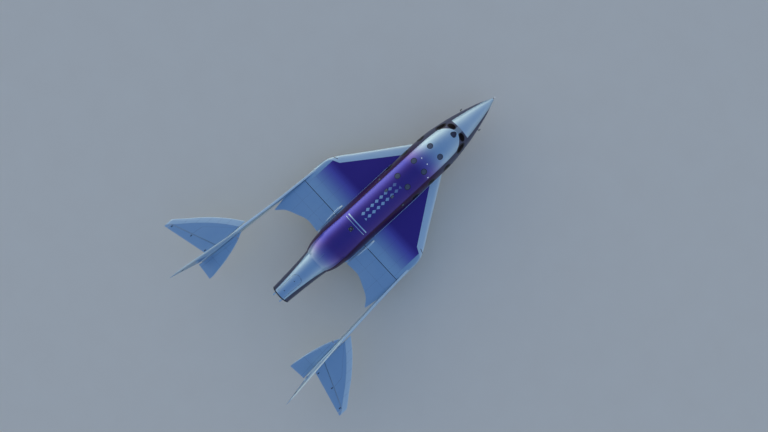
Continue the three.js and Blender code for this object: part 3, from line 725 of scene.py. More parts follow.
def fin_marks(finish, out, station, z):
    """Painted highlight: a white leading edge and a lighter front; painted shade: a deep blue rear"""
    edge = finish.attribute("edge")
    # The lighter front and the deeper blue rear are painted highlight and painted shade on the fin's sides
    front = (edge + (z.most(2.6) - 2.6) * 1.25).below(2.16, 0.10)
    lines = stripe(edge, FIN_BAND).most(seams_at(z, *FIN_SEAMS) * edge.above(FIN_BAND, 0.002))
    white = edge.below(0.34, 0.22).most(front * 0.5)
    return {"line": lines * 0.6, "white": white, "deep": (1 - front) * 0.8}


def boom_marks(finish, out, station, z):
    """A white line along the top, which is a painted highlight, and panel lines"""
    lines = stripe(station, 12.15, 0.004).most(seams_at(station, *BOOM_SEAMS))
    top = finish.attribute("edge").below(0.05, 0.02)
    # Painted highlight along the boom's top
    line = abs(finish.attribute("across")).below(0.050, 0.012) * top
    return {"line": lines * 0.5, "white": line * 0.9}


BODY_PAINT = body_paint()
PALE_PAINT = pale_paint("pale_paint")
# White paint for the hinge fittings, and a painted highlight for the strip along the fillet
WHITE_AND_HIGHLIGHT_PAINT = pale_paint("white_paint", tint=WHITE_AND_HIGHLIGHT, light=WHITE_AND_HIGHLIGHT)
WING_PAINT = wing_paint()
FLAP_PAINT = pale_paint("flap_paint", flap_marks)
TAIL_PAINT = pale_paint("stabiliser_paint", stabiliser_marks)
ELEVON_PAINT = pale_paint("elevon_paint", elevon_marks)
FIN_PAINT = pale_paint("fin_paint", fin_marks)
# The rudder's blue is painted shade, like the fin's rear
RUDDER_PAINT = pale_paint("rudder_paint", tint=RUDDER_SHADE_BLUE, light=RUDDER_SHADE_LIGHT)
BOOM_PAINT = pale_paint("boom_paint", boom_marks)
print("paints made")

# %% [markdown]
# ## Fuselage
# The body is a row of round hoops. Each section is a shell with a wall, as it is built, so that the
# windows cut through it show their thickness. A paint attribute on every vertex says how far it is
# around from the top, in degrees, because the paint's edges follow the body and not the ground.

# %% Hoops
# Station, radius and height of the centre
HOOPS = [
    (0.0, 0.016, 1.42), (0.03, 0.058, 1.424), (0.22, 0.135, 1.45), (0.6, 0.29, 1.50), (1.13, 0.47, 1.56),
    (1.83, 0.66, 1.65), (2.55, 0.83, 1.76), (3.3, 0.96, 1.87), (3.84, 1.04, 1.93), (4.37, 1.085, 1.98),
    (5.2, 1.10, 2.05), (11.5, 1.10, 2.05), (11.8, 1.05, 2.06), (12.33, 0.98, 2.075), (12.7, 0.87, 2.09),
    (TAIL_START, 0.80, 2.10),
]
TAIL_HOOPS = [
    (TAIL_START, 0.772, 2.10), (13.1, 0.74, 2.11), (13.65, 0.68, 2.13), (14.2, 0.635, 2.145),
    (14.7, 0.60, 2.16), (15.24, 0.565, 2.175), (15.43, 0.556, 2.18),
]
SPLITS = {"nose": NOSE_END, "cockpit": 4.12, "cabin": 8.0, "aft": TAIL_START, "tail": 15.43}
SKIN = 0.06
AROUND = 144


def hull_point(station, angle, lift, hoops=HOOPS):
    """Points at a station and an angle from the top, lifted off the skin"""
    radius, centre = np.moveaxis(through(hoops, station), -1, 0)
    return np.stack([
        (radius + lift) * np.sin(angle), at(station) + 0 * angle, centre + (radius + lift) * np.cos(angle)
    ], -1)


def hoop_rings(stations, lift=0.0, hoops=HOOPS):
    """Whole rings of AROUND points, one for each station"""
    angle = np.arange(AROUND) / AROUND * 2 * math.pi
    grid, turn = np.meshgrid(stations, angle, indexing="ij")
    return hull_point(grid, turn, lift, hoops)


# Where the painted top panel ends and the sides' painted reflection begins, in degrees from the top
PANEL_EDGE = [
    (0.0, 180), (0.30, 110), (0.55, 62), (0.9, 48), (2.7, 45.5), (3.7, 46.5), (5.0, 47), (10.5, 47.5),
    (11.5, 51), (12.0, 55), (12.6, 58), (12.9, 58), (13.25, 54), (13.5, 50), (14.0, 46), (14.5, 42),
    (15.0, 40), (15.5, 38),
]


# %% Marks for the paint
def mark(obj, name, values):
    """A number on every vertex for the shaders to read"""
    layer = obj.data.attributes.new(name, "FLOAT", "POINT")
    layer.data.foreach_set("value", np.asarray(values, np.float32))


def places(obj):
    """The vertices as distance across, station and height"""
    points = np.array([v.co for v in obj.data.vertices])
    return points[:, 0], points[:, 1] + MIDDLE, points[:, 2]


def mark_around(obj, hoops):
    """Degrees from the top, and degrees inside the edge of the painted top panel"""
    x, station, z = places(obj)
    around = np.abs(np.degrees(np.arctan2(x, z - through(hoops, station)[:, 1])))
    mark(obj, "around", around)
    mark(obj, "inside", straight(PANEL_EDGE, station) - around)


# %% Fuselage sections
def dress_hull(obj, replaces=(), hoops=HOOPS):
    """Body paint, with the marks that it reads"""
    mark_around(obj, hoops)
    dress(obj, BODY_PAINT, "root", replaces)


def section(name, start, end, hoops=HOOPS, step=0.06, wall=SKIN):
    """A shell with a wall, open at both ends"""
    stations = np.linspace(start, end, max(int((end - start) / step), 8))
    outer = hoop_rings(stations, 0.0, hoops)
    inner = hoop_rings(stations[::-1], -wall, hoops)
    return lofted(name, np.concatenate([outer, inner]), loop=True)


SEAM = 0.002
nose_stations = NOSE_END * np.linspace(0, 1, 60) ** 1.6 * (1 - SEAM / NOSE_END)
nose_shell = lofted("nose_shell", hoop_rings(nose_stations))
SKID_BAY = {"half": 0.11, "front": 1.84, "back": 2.52, "roof": 1.25}
cut(nose_shell, block(
    "pocket", (-SKID_BAY["half"], at(SKID_BAY["front"]), 0.5),
    (SKID_BAY["half"], at(SKID_BAY["back"]), SKID_BAY["roof"]), 0.02
))
dress_hull(nose_shell, ["nose_cone"])
aft_shell = section("aft_shell", SPLITS["cabin"] + SEAM, SPLITS["aft"])
dress_hull(aft_shell, ["aft_section"])
tail_shell = section("tail_shell", SPLITS["aft"] + SEAM, SPLITS["tail"], TAIL_HOOPS, wall=0.04)
dress_hull(tail_shell, ["tail_cone"], TAIL_HOOPS)
print("fuselage skins made")

# %% [markdown]
# ## Windows
# Five panes wrap the cockpit and twelve round windows light the cabin. Each one is drawn on the skin:
# an outline in metres along and around the body, which is then bent onto the hoops. The same outline
# cuts the wall, shapes the glass a little below the skin, and carries the dark seal around it.

# %% Window outlines
# Name, station, degrees from the top, half length, half width, tilt in degrees, and how three-cornered
PANES = [
    ("window_centre", 3.185, 0, 0.150, 0.150, 0, 0.08),
    ("window_front", 2.940, 26, 0.145, 0.245, -14, 0),
    ("window_side", 3.330, 53, 0.265, 0.150, 12, 0),
]
PORTHOLE_ROWS = [(20.5, 0.163), (LOW_PORTHOLES, 0.215)]
HATCH = ("crew_hatch", 3.76, 92, 0.25, 0.33, 0, 0)


def outline(shape, inset):
    """Stations and angles of 48 points round a shape, drawn smaller by the inset"""
    _, station, angle, long, wide, tilt, corner = shape
    phase = np.arange(48) / 48 * 2 * math.pi
    swell = 1 + corner * np.cos(3 * phase + math.pi)
    along, across = (long - inset) * np.cos(phase) * swell, (wide - inset) * np.sin(phase) * swell
    turn = math.radians(tilt)
    radius = through(HOOPS, [station])[0, 0]
    return (
        station + along * math.cos(turn) - across * math.sin(turn),
        math.radians(angle) + (along * math.sin(turn) + across * math.cos(turn)) / radius,
    )


def outline_rings(shape, *layers):
    """One ring round the shape for each inset and lift off the skin"""
    return [hull_point(*outline(shape, inset), lift) for inset, lift in layers]


def plug(shape):
    """What cuts the wall"""
    return lofted("plug", outline_rings(shape, (0.0, -0.12), (0.0, 0.05)))


def pane(name, shape, inset, top, thick):
    """A curved plate under the outline"""
    stations, angles = outline(shape, inset)
    rings = []
    station, angle = shape[1], math.radians(shape[2])
    for lift, shares in ((top, np.linspace(0.02, 1, 8)), (top - thick, np.linspace(1, 0.02, 8))):
        for share in shares:
            rings.append(hull_point(
                station + (stations - station) * share, angle + (angles - angle) * share, lift
            ))
    return lofted(name, rings)


def seal(name, shape, width, low, high):
    """A flat band just inside the cut, round the glass"""
    return lofted(name, outline_rings(
        shape, (0.0015, low), (0.0015, high - 0.003), (0.004, high), (width, high), (width, low)
    ), loop=True)


def flange(name, shape, width, proud):
    """A thin band on the skin, outside the cut"""
    return lofted(name, outline_rings(
        shape, (-0.0005, -0.002), (-0.0005, proud), (-width, proud), (-width - 0.001, -0.002)
    ), loop=True)


def both_sides(shape):
    if shape[2] == 0:
        return [shape]
    name, station, angle, long, wide, tilt, corner = shape
    return [shape, (name, station, -angle, long, wide, -tilt, corner)]


# %% Glass and seals
def glass_finish(name, dark, light, shine=0.5, glow=0.0):
    finish = Finish(name, Specular_IOR_Level=shine, Emission_Strength=glow)
    where, x, y, z = finish.place()
    smear = finish.noise(where, 7.0, 3.0, 0.6)
    finish.feed("Base Color", finish.blend(smear, dark, light))
    finish.feed("Roughness", 0.05 + smear * 0.06)
    if glow:
        finish.feed("Emission Color", finish.blend(smear, dark, light))
    return finish


SEAL_DARK = (0.012, 0.012, 0.014)
SEAL_LIGHT = (0.03, 0.03, 0.034)


def seal_finish():
    finish = Finish("window_seal", Metallic=0.0)
    where, x, y, z = finish.place()
    grain = finish.noise(where, 160.0, 3.0, 0.6)
    finish.feed("Base Color", finish.blend(grain, SEAL_DARK, SEAL_LIGHT))
    finish.feed("Roughness", 0.55 + grain * 0.2)
    finish.bump(grain, 0.0006, 0.4)
    return finish


GLASS = glass_finish("tinted_glass", (0.004, 0.002, 0.003), (0.014, 0.006, 0.008), shine=0.06)
# Glass lightened by a painted reflection of the sky, for windows that face upwards and the side ports
PORT_GLASS_SKY_REFLECTION = glass_finish("porthole_glass", (0.070, 0.085, 0.130), (0.115, 0.140, 0.195))
CENTRE_GLASS = glass_finish("centre_glass", (0.034, 0.036, 0.070), (0.058, 0.062, 0.110), shine=0.3)
SEAL = seal_finish()

# %% Cockpit and its panes
cockpit_shell = section("cockpit_shell", SPLITS["nose"] + SEAM, SPLITS["cockpit"] - SEAM, step=0.04)
pane_shapes = [side for shape in PANES for side in both_sides(shape)]
cut(cockpit_shell, *[plug(shape) for shape in pane_shapes], plug(HATCH))
dress_hull(cockpit_shell, ["cockpit_section"])
for shape in pane_shapes:
    name = shape[0] + {0: "", 1: "_l", -1: "_r"}[int(np.sign(shape[2]))]
    glass = CENTRE_GLASS if shape[2] == 0 else GLASS
    dress(pane(name + "_glass", shape, inset=0.012, top=-0.006, thick=0.02), glass, "root", [name])
    dress(seal(name + "_seal", shape, width=0.02, low=-0.04, high=-0.001), SEAL, "root")
    dress(flange(name + "_flange", shape, width=0.016, proud=0.0015), SEAL, "root")

# %% Cabin and its round windows
cabin_shell = section("cabin_shell", SPLITS["cockpit"], SPLITS["cabin"], step=0.05)
portholes = [
    side
    for angle, radius in PORTHOLE_ROWS
    for station in PORTHOLE_STATIONS
    for side in both_sides(("porthole", station, angle, radius, radius, 0, 0))
]
cut(cabin_shell, *[plug(shape) for shape in portholes])
dress_hull(cabin_shell, ["cabin_section"])
for i, shape in enumerate(portholes):
    # Upper portholes take the glass with a painted sky reflection; the lower row keeps the dark glass
    glass = PORT_GLASS_SKY_REFLECTION if abs(shape[2]) < 45 else GLASS
    dress(pane(f"porthole_glass_{i}", shape, inset=0.014, top=-0.008, thick=0.02), glass, "root")
    ring = seal(f"porthole_seal_{i}", shape, width=0.024, low=-0.045, high=-0.001)
    dress(ring, SEAL, "root")
print("windows", len(pane_shapes) + len(portholes))

# %% [markdown]
# ## Crew hatch
# The hatch fills its own cut in the port side, flush with the skin. It is a curved plate like a pane,
# as thick as the wall, with a fine gap around it.

# %% Hatch plate
hatch_plate = pane("hatch_plate", HATCH, inset=0.006, top=0.0, thick=SKIN)
dress_hull(hatch_plate, ["crew_hatch"])

# %% [markdown]
# ## Fittings on the body
# Small things give a body its scale: flush ports, lamps, air data probes, an antenna and the pads that
# carry it. Each one is placed by station and angle, so it sits on the skin wherever the skin is.


# %% Points and plates on the skin
def skin_point(station, angle, lift=0.0, hoops=HOOPS):
    return Vector(hull_point(np.array(float(station)), np.radians(float(angle)), lift, hoops))


def skin_normal(station, angle, hoops=HOOPS):
    here = skin_point(station, angle, 0.0, hoops)
    aft = skin_point(station + 0.01, angle, 0.0, hoops) - here
    around = skin_point(station, angle + 1, 0.0, hoops) - here
    return aft.cross(around).normalized() * -1.0


def tail_plate(name, stations, angles, low, high):
    """A plate that follows the tail's skin inside an outline, with a bevelled rim"""
    middle = np.array([np.mean(stations), np.mean(angles)])
    points = np.stack([stations, angles], -1)
    layers = [(1.0, low), (1.0, high - 0.001)] + [(share, high) for share in np.linspace(0.985, 0.04, 14)]
    return lofted(name, [
        hull_point(*np.moveaxis(middle + (points - middle) * share, -1, 0), lift, TAIL_HOOPS)
        for share, lift in layers
    ])


print("normal at the top of the cabin", skin_normal(7.0, 0.0))

# %% Side ports
SIDE_PORT = {"station": 7.57, "angle": 55, "radius": 0.085}
SIDES = (("l", 1), ("r", -1))
for side, sign in SIDES:
    angle, radius = sign * SIDE_PORT["angle"], SIDE_PORT["radius"]
    shape = ("port", SIDE_PORT["station"], angle, radius, radius, 0, 0)
    port = pane("side_port_" + side, shape, inset=0.012, top=0.003, thick=0.01)
    # The side ports take the glass with a painted sky reflection
    dress(port, PORT_GLASS_SKY_REFLECTION, "root")
    ring = seal("side_port_ring_" + side, shape, width=0.018, low=-0.01, high=0.005)
    dress(ring, SEAL, "root")


# %% Metals and the lamps' glass
def metal_finish(name, dark, light, roughness, metallic=1.0, scale=60.0):
    """Fine grain in colour, roughness and height, with wider patches of wear"""
    finish = Finish(name)
    where, x, y, z = finish.place()
    grain = finish.noise(where, scale, 4.0, 0.6)
    wear = finish.noise(where, scale * 0.12, 3.0, 0.6)
    finish.feed("Base Color", finish.blend(grain * 0.6 + wear * 0.4, dark, light))
    finish.feed("Metallic", metallic)
    finish.feed("Roughness", roughness + (grain - 0.5) * 0.25 + (wear - 0.5) * 0.15)
    finish.bump(grain, 0.0004, 0.3)
    return finish


BRIGHT = metal_finish("polished_metal", (0.70, 0.72, 0.75), (0.88, 0.89, 0.90), 0.22)
BARE_METAL = metal_finish("bare_metal", (0.42, 0.43, 0.45), (0.62, 0.63, 0.65), 0.35)
DARK_METAL = metal_finish("dark_metal", (0.02, 0.02, 0.024), (0.06, 0.06, 0.066), 0.5, 0.7)
PAD_METAL = metal_finish("pad_metal", (0.040, 0.038, 0.052), (0.085, 0.080, 0.085), 0.5, 0.6)
LENS = glass_finish("lamp_lens", (0.72, 0.78, 0.80), (0.82, 0.88, 0.90), glow=0.35)


# %% Lamps and lifting points
def dome(name, station, angle, radius, height, hoops=HOOPS):
    """A low round cap that sits on the skin"""
    profile = [(radius, -0.004), (radius, 0.001)]
    profile += [(radius * math.cos(a), height * math.sin(a)) for a in np.radians([20, 45, 70, 88])]
    return turned(
        name, profile, skin_point(station, angle, 0.0, hoops), skin_normal(station, angle, hoops), 24
    )


# Station, degrees from the top, radius
LAMPS = [(5.27, 11, 0.028), (5.27, -11, 0.028), (5.68, -42, 0.034)]
for number, (station, angle, radius) in enumerate(LAMPS):
    dress(dome(f"lamp_{number}", station, angle, radius, 0.012), LENS, "root")
LIFTING_POINTS = (14.37, 15.08)
for number, station in enumerate(LIFTING_POINTS):
    piece = dome(f"lifting_point_{number}", station, 0, 0.026, 0.010, TAIL_HOOPS)
    dress(piece, DARK_METAL, "root")

# %% Blade antenna
ANTENNA = {
    "front": 12.18, "front_rake": 0.10, "back": 12.46, "back_rake": 0.03, "sunk": 0.02, "height": 0.13,
    "half": 0.010, "strake_end": 12.72,
}
rings = []
for share in np.linspace(0, 1, 8):
    front = ANTENNA["front"] + ANTENNA["front_rake"] * share
    back = ANTENNA["back"] - ANTENNA["back_rake"] * share
    phase = np.arange(24) / 24 * 2 * math.pi
    station = (front + back) / 2 + (back - front) / 2 * np.cos(phase)
    half = ANTENNA["half"] * (1 - 0.5 * share) * np.sin(phase)
    foot = skin_point((front + back) / 2, 0)[2] - ANTENNA["sunk"]
    height = foot + (ANTENNA["height"] + ANTENNA["sunk"]) * share
    rings.append(np.stack([half, at(station), np.full(24, height)], -1))
antenna = lofted("blade_antenna", rings)
STRAKE_SECTION = ((-0.012, -0.01), (-0.004, 0.014), (0.004, 0.014), (0.012, -0.01))
strake = lofted("strake", [
    np.array([skin_point(station, 0) + Vector((x, 0, z)) for x, z in STRAKE_SECTION])
    for station in np.linspace(ANTENNA["back"] - 0.02, ANTENNA["strake_end"], 12)
])
dress(joined("blade_antenna", [antenna, strake]), PALE_PAINT, "root")

# %% Air data probes
AIR_PROBE = {"root": 1.83, "elbow": 1.80, "angle": 88, "stand": 0.085, "ahead": 0.09, "aft": 0.03}
for side, sign in SIDES:
    root = skin_point(AIR_PROBE["root"], sign * AIR_PROBE["angle"], -0.01)
    elbow = skin_point(AIR_PROBE["elbow"], sign * AIR_PROBE["angle"], AIR_PROBE["stand"])
    ends = [elbow + Vector((0, reach, 0)) for reach in (AIR_PROBE["aft"], -AIR_PROBE["ahead"])]
    foot = turned("foot", [(0.034, 0), (0.034, 0.012), (0.026, 0.016)], root, elbow - root, 20)
    mast, tube = rod("mast", root, elbow, 0.018, 16), rod("tube", *ends, 0.019, 16)
    probe = joined("air_data_probe_" + side, [foot, mast, tube])
    dress(probe, DARK_METAL, "root")

# %% Nose probe
NOSE_TIP_HEIGHT = HOOPS[0][2]
PROBE_DARK = (0.03, 0.03, 0.035)
PROBE_LIGHT = (0.06, 0.06, 0.07)
PROBE_SILVER_AND_GLINT = (0.90, 0.92, 0.95)
PROBE_TIP_STARTS = -0.084
probe_profile = [
    (0.018, -0.0005), (0.018, 0.030), (0.0140, 0.036), (0.0140, 0.080), (0.0185, 0.086), (0.0195, 0.100),
    (0.0175, 0.116), (0.010, 0.127), (0.001, -PROBE_TIP - 0.001),
]
nose_probe = turned("nose_probe_tube", probe_profile, (0, at(-0.0005), NOSE_TIP_HEIGHT), (0, -1, 0), 28)


def probe_finish():
    """Dark tube with a polished tip, which glows as a painted glint"""
    finish = Finish("probe_metal", Emission_Strength=0.5)
    where, x, y, z = finish.place()
    grain = finish.noise(where, 90.0, 3.0)
    tip = (y + MIDDLE).below(PROBE_TIP_STARTS, 0.001)
    dark = finish.blend(grain, PROBE_DARK, PROBE_LIGHT)
    finish.feed("Base Color", finish.blend(tip, dark, PROBE_SILVER_AND_GLINT))
    # The tip glows as a painted glint
    finish.feed("Emission Color", finish.blend(tip, (0.0, 0.0, 0.0), PROBE_SILVER_AND_GLINT))
    finish.feed("Roughness", 0.5 - tip * 0.25 + grain * 0.08)
    return finish


dress(nose_probe, probe_finish(), "root", ["nose_probe"])

# %% Carry pads
UP = (0, 0, 1)
SOCKET_PROFILE = [
    (0.034, -0.01), (0.034, 0.004), (0.030, 0.006), (0.020, 0.006), (0.018, 0.003), (0.018, -0.01)
]
for name, reach in (("carry_pad_front_l", 0.6), ("carry_pad_front_r", 0.6), ("carry_pad_rear", 0.7)):
    low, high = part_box(name)
    middle = (low + high) / 2
    half = (high - low) / 2
    spots = [
        (Vector((middle.x + half.x * reach * i, middle.y + half.y * reach * j, high.z)), UP)
        for i in (-1, 1) for j in (-1, 1)
    ]
    dress(bolts(name + "_bolts", spots, 0.011, 0.005), BARE_METAL, "root")
    top = (middle.x, middle.y, high.z)
    socket = turned(name + "_socket", SOCKET_PROFILE, top, UP, 32, loop=True)
    dress(socket, BARE_METAL, "root")

# %% Access panel on the tail cone
ACCESS = {"front": 14.0, "shoulder": 14.27, "middle": 14.72, "edge": 27.0, "back": 15.40}
ACCESS_LIFT = 0.0025
turn = np.radians(np.linspace(-90, 90, 25))
front_stations = ACCESS["shoulder"] - (ACCESS["shoulder"] - ACCESS["front"]) * np.cos(turn)
side_stations = np.linspace(ACCESS["shoulder"], ACCESS["back"], 14)[1:]
side_angles = np.full(len(side_stations), ACCESS["edge"])
stations = np.concatenate([front_stations, side_stations, side_stations[::-1]])
angles = np.radians(np.concatenate([ACCESS["edge"] * np.sin(turn), side_angles, -side_angles]))


def spread(stations, share):
    """Stations drawn away from the panel's middle, or towards it"""
    return ACCESS["middle"] + (stations - ACCESS["middle"]) * share


access_panel = tail_plate("tail_access_panel", stations, angles, -0.004, ACCESS_LIFT)
dress_hull(access_panel, hoops=TAIL_HOOPS)
groove = tail_plate("tail_access_groove", spread(stations, 1.012), angles * 1.035, -0.004, 0.0009)
dress(groove, SEAL, "root")
screws = []
for station, angle in zip(spread(stations, 0.965)[::2], np.degrees(angles)[::2] * 0.92):
    point = skin_point(station, angle, ACCESS_LIFT, TAIL_HOOPS)
    screws.append((point, skin_normal(station, angle, TAIL_HOOPS)))
dress(bolts("tail_access_screws", screws, 0.006, 0.002), DARK_METAL, "root")

# %% Hatch handle
HANDLE = (3.80, 96)
handle_spot = skin_point(*HANDLE)
handle_way = skin_normal(*HANDLE)
handle_cup = turned("cup", [
    (0.052, -0.004), (0.052, 0.003), (0.047, 0.005), (0.040, 0.005), (0.038, 0.001), (0.001, 0.001)
], handle_spot, handle_way, 36)
ends = [handle_spot + Vector((0, reach, 0.0)) + handle_way * 0.006 for reach in (-0.034, 0.034)]
lever = rod("lever", *ends, 0.007, 14)
dress(joined("hatch_handle", [handle_cup, lever]), BARE_METAL, "root")
print("fittings on the body made")

# %% [markdown]
# ## Panels with a wing section
# Wing, flap, fins and stabilisers are one idea: a section with a round nose and a thin tail, run along
# a span between two edges. Either end may be cut off along a line, such as the side of the body, so each
# point slides along the span until it meets that line. A placing function turns span, chord and lift
# into the aircraft's own directions.


# %% Panel helper
SLIDES = 12


def panel(name, front, back, half, shape, inner, outer, place, spans, chords):
    """front, back and half give station and half thickness along the span, shape gives the share of
    the half thickness along the chord, inner and outer give the two ends' span at a station"""
    across = (1 - np.cos(np.linspace(0, math.pi, spans))) / 2
    share = np.linspace(0, 1, chords) ** 2
    u, t = np.meshgrid(across, share, indexing="ij")
    sides = []
    for sign in (1, -1):
        span = np.full(u.shape, 1.0) * inner(front(1.0), 0.0)
        for _ in range(SLIDES):
            chord = front(span) + t * (back(span) - front(span))
            lift = sign * half(span) * shape(t, span)
            span = inner(chord, lift) * (1 - u) + outer(chord, lift) * u
        sides.append(place(span, chord, lift))
    upper, lower = sides
    rings = np.concatenate([upper[:, ::-1], lower[:, 1:]], axis=1)
    return lofted(name, rings, sharp=30)


def column(rows, index):
    """One column of a table as a smooth curve"""
    return lambda span: through([(row[0], row[index]) for row in rows], span)[..., 0]


def line(rows, index):
    """One column of a table as a broken line"""
    return lambda span: straight(rows, span, index)


def level(value):
    """The same value all over a panel"""
    return lambda first, second=0.0: value + 0 * first


def slice_at(station, points):
    """A ring across the aircraft, from points of distance out and height"""
    points = np.asarray(points, float)
    return np.stack([points[:, 0], np.full(len(points), at(station)), points[:, 1]], -1)


# %% [markdown]
# ## Wings
# The delta wing meets the round body low on its side. Its root follows the skin exactly, because the
# panel's inner end asks the hoops where the side of the body is at that height.

# %% Wing skins
HINGE = 10.53
RUNNING_GAP = 0.012
WING_TIP = 3.78
# Distance out, station of the leading edge, half thickness, half thickness at the hinge
WING_SECTIONS = [
    (0.6, 4.041, 0.215, 0.190), (1.15, 4.87, 0.212, 0.188), (2.0, 6.15, 0.195, 0.176),
    (2.9, 7.506, 0.178, 0.162), (3.52, 8.44, 0.152, 0.146), (3.7, 8.83, 0.120, 0.128),
    (WING_TIP, 9.25, 0.05, 0.07),
]
WING_PROFILE = [
    (0.0, 0.0), (0.07, 0.2), (0.141, 0.42), (0.265, 0.68), (0.447, 0.9), (0.67, 1.0), (1.0, 0.9),
]


def wing_shape(share, span):
    """The profile, with its tail as thick as the table says at the hinge"""
    hinge = column(WING_SECTIONS, 3)(span) / column(WING_SECTIONS, 2)(span)
    base = through(WING_PROFILE, np.sqrt(share))[..., 0]
    late = np.clip((np.sqrt(share) - 0.67) / 0.33, 0, 1)
    return base + late**2 * (hinge - 0.9)


def hull_side(station, lift):
    """How far out the wing's root is, 4 mm inside the body's skin"""
    radius, centre = np.moveaxis(through(HOOPS, station), -1, 0)
    height = WING_MID + lift - centre
    return np.sqrt(np.maximum(radius**2 - height**2, 0.25)) - 0.004


def plan_place(mid):
    """Placing for a panel that lies flat at a height"""
    return lambda span, chord, lift: np.stack([span, at(chord), mid + lift], -1)


wing_skin = panel(
    "wing_skin_l", column(WING_SECTIONS, 1), level(HINGE - RUNNING_GAP / 2), column(WING_SECTIONS, 2),
    wing_shape, hull_side, level(WING_TIP), plan_place(WING_MID), spans=70, chords=40,
)

# %% Gear bay
BAY = {"inner": 1.16, "outer": 1.70, "front": 9.30, "back": 10.34, "mouth": 1.245, "roof": 1.52}
cut(wing_skin, block(
    "pocket", (BAY["inner"], at(BAY["front"]), 1.0), (BAY["outer"], at(BAY["back"]), BAY["roof"]), 0.02
), sharp=30)
dress_pair(wing_skin, WING_PAINT, "root", ["wing", "leading_edge", "tip_fairing"])

# %% [markdown]
# ## Where the wing meets the body
# A hollow fillet softens the corner between wing and body, and aft of the hinge line a short fairing
# stays with the body while the rear wing beside it folds. Both follow the two surfaces they join, so
# their sections are asked from the same tables. A white strip on the fillet's outer edge is a painted
# highlight.


# %% Fillet and seal strip
def wing_top(x, station):
    """Height of the wing's upper side"""
    front = column(WING_SECTIONS, 1)(x)
    share = np.clip((station - front) / (HINGE - front), 0.0, 1.0)
    return WING_MID + column(WING_SECTIONS, 2)(x) * wing_shape(share, x)


def skin_width(station, height):
    """How far out the body's skin is"""
    radius, centre = np.moveaxis(through(HOOPS, station), -1, 0)
    return np.sqrt(np.maximum(radius**2 - (height - centre) ** 2, 0.01))


FILLET = [(4.98, 0.02), (5.5, 0.08), (7.0, 0.11), (9.5, 0.11), (10.50, 0.09)]
# The strip is white as a painted highlight along the fillet's outer edge
STRIP = {"start": 5.05, "end": 9.80, "half": 0.012, "proud": 0.003, "sunk": -0.004}
rings, strip_rings = [], []
for station in np.linspace(FILLET[0][0], FILLET[-1][0], 70):
    size = straight(FILLET, station)
    height = wing_top(np.array(1.0), station)
    high = np.array([skin_width(station, height + size), height + size])
    corner = np.array([skin_width(station, height), height])
    out = corner[0] + size
    low = np.array([out, wing_top(np.array(out), station)])
    u = np.linspace(0, 1, 9)[:, None]
    hollow = high * (1 - u) ** 2 + (corner + 0.004) * 2 * u * (1 - u) + low * u**2
    rings.append(slice_at(station, np.vstack([
        high + (-0.02, 0.004), hollow, low + (0.004, -0.012), corner + (-0.03, -0.03)
    ])))
    if STRIP["start"] < station < STRIP["end"]:
        across = out + np.array([-1, -0.7, 0.7, 1]) * STRIP["half"] + 0.006
        lift = np.array([STRIP["sunk"], STRIP["proud"], STRIP["proud"], STRIP["sunk"]])
        strip_rings.append(slice_at(station, np.stack([across, wing_top(across, station) + lift], -1)))
fillet = lofted("root_fillet_l", rings)
dress_pair(fillet, WING_PAINT, "root")
dress_pair(lofted("root_strip_l", strip_rings), WHITE_AND_HIGHLIGHT_PAINT, "root")

# %% Root fairing
FAIRING = {"front": HINGE + RUNNING_GAP / 2, "back": 12.02, "out": 1.185, "narrows": 11.75}
FAIRING_THICKNESS = [(10.53, 0.186), (10.9, 0.165), (11.4, 0.10), (11.85, 0.035), (12.02, 0.012)]
rings = []
for station in np.linspace(FAIRING["front"], FAIRING["back"], 30):
    half = straight(FAIRING_THICKNESS, station)
    out = FAIRING["out"] - max(station - FAIRING["narrows"], 0) ** 2 * 3.0
    phase = np.radians(np.linspace(80, -80, 9))
    heights = WING_MID + half * np.sin(phase) / math.sin(math.radians(80))
    nose = np.stack([out - 0.02 + 0.02 * np.cos(phase), heights], -1)
    root = [(skin_width(station, z) - 0.03, z) for z in (WING_MID - half, WING_MID + half)]
    rings.append(slice_at(station, np.vstack([nose, root])))
dress_pair(lofted("root_fairing_l", rings), FLAP_PAINT, "root")

# %% [markdown]
# ## Rear wing
# Aft of the hinge line the wing belongs to the folding tail section. Its trailing edge is a hollow
# curve, and its outer end runs along the boom and then cuts in to a sharp tip.

# %% Flap skins
FLAP_FRONT = HINGE + RUNNING_GAP / 2
FLAP_INNER = 1.195
FLAP_EDGE = [(FLAP_INNER, 11.91), (1.9, 11.86), (2.7, 12.13), (3.23, 12.40), (3.61, 12.83)]
BOOM_X = 3.72
BOOM_SIDE = 0.0813
TOE_OUT = math.radians(3.02)
BOOM_LEAVES = 12.08


def flap_outer(chord, lift):
    """Along the boom, then cut in to the tip"""
    along_boom = BOOM_X - BOOM_SIDE + (chord - HINGE) * math.tan(TOE_OUT)
    corner = BOOM_X - BOOM_SIDE + (BOOM_LEAVES - HINGE) * math.tan(TOE_OUT)
    tip_out, tip_station = FLAP_EDGE[-1]
    cut_in = corner + (chord - BOOM_LEAVES) / (tip_station - BOOM_LEAVES) * (tip_out - corner)
    return np.where(chord < BOOM_LEAVES, along_boom, cut_in)


def flap_shape(share, span=None):
    """Full at the hinge line and thin at the trailing edge"""
    return np.interp(share, [0, 0.25, 0.6, 1], [1, 0.86, 0.52, 0.06])


flap_skin = panel(
    "flap_skin_l", level(FLAP_FRONT), column(FLAP_EDGE, 1), column(WING_SECTIONS, 3), flap_shape,
    level(FLAP_INNER), flap_outer, plan_place(WING_MID), spans=60, chords=24,
)
dress_pair(flap_skin, FLAP_PAINT, "feather", ["flap"])
print("wings made")

# %% Inner hinge helpers
HINGE_Z = 1.745
FORK = {"inner": 1.205, "outer": 1.335, "front": 9.92, "cheek": 0.025, "eye": 0.030, "foot": 1.545}
LUG = {"slack": 0.006, "back": 11.20, "eye": 0.026, "middle": 1.27}
PIN_HOLE = 0.0125


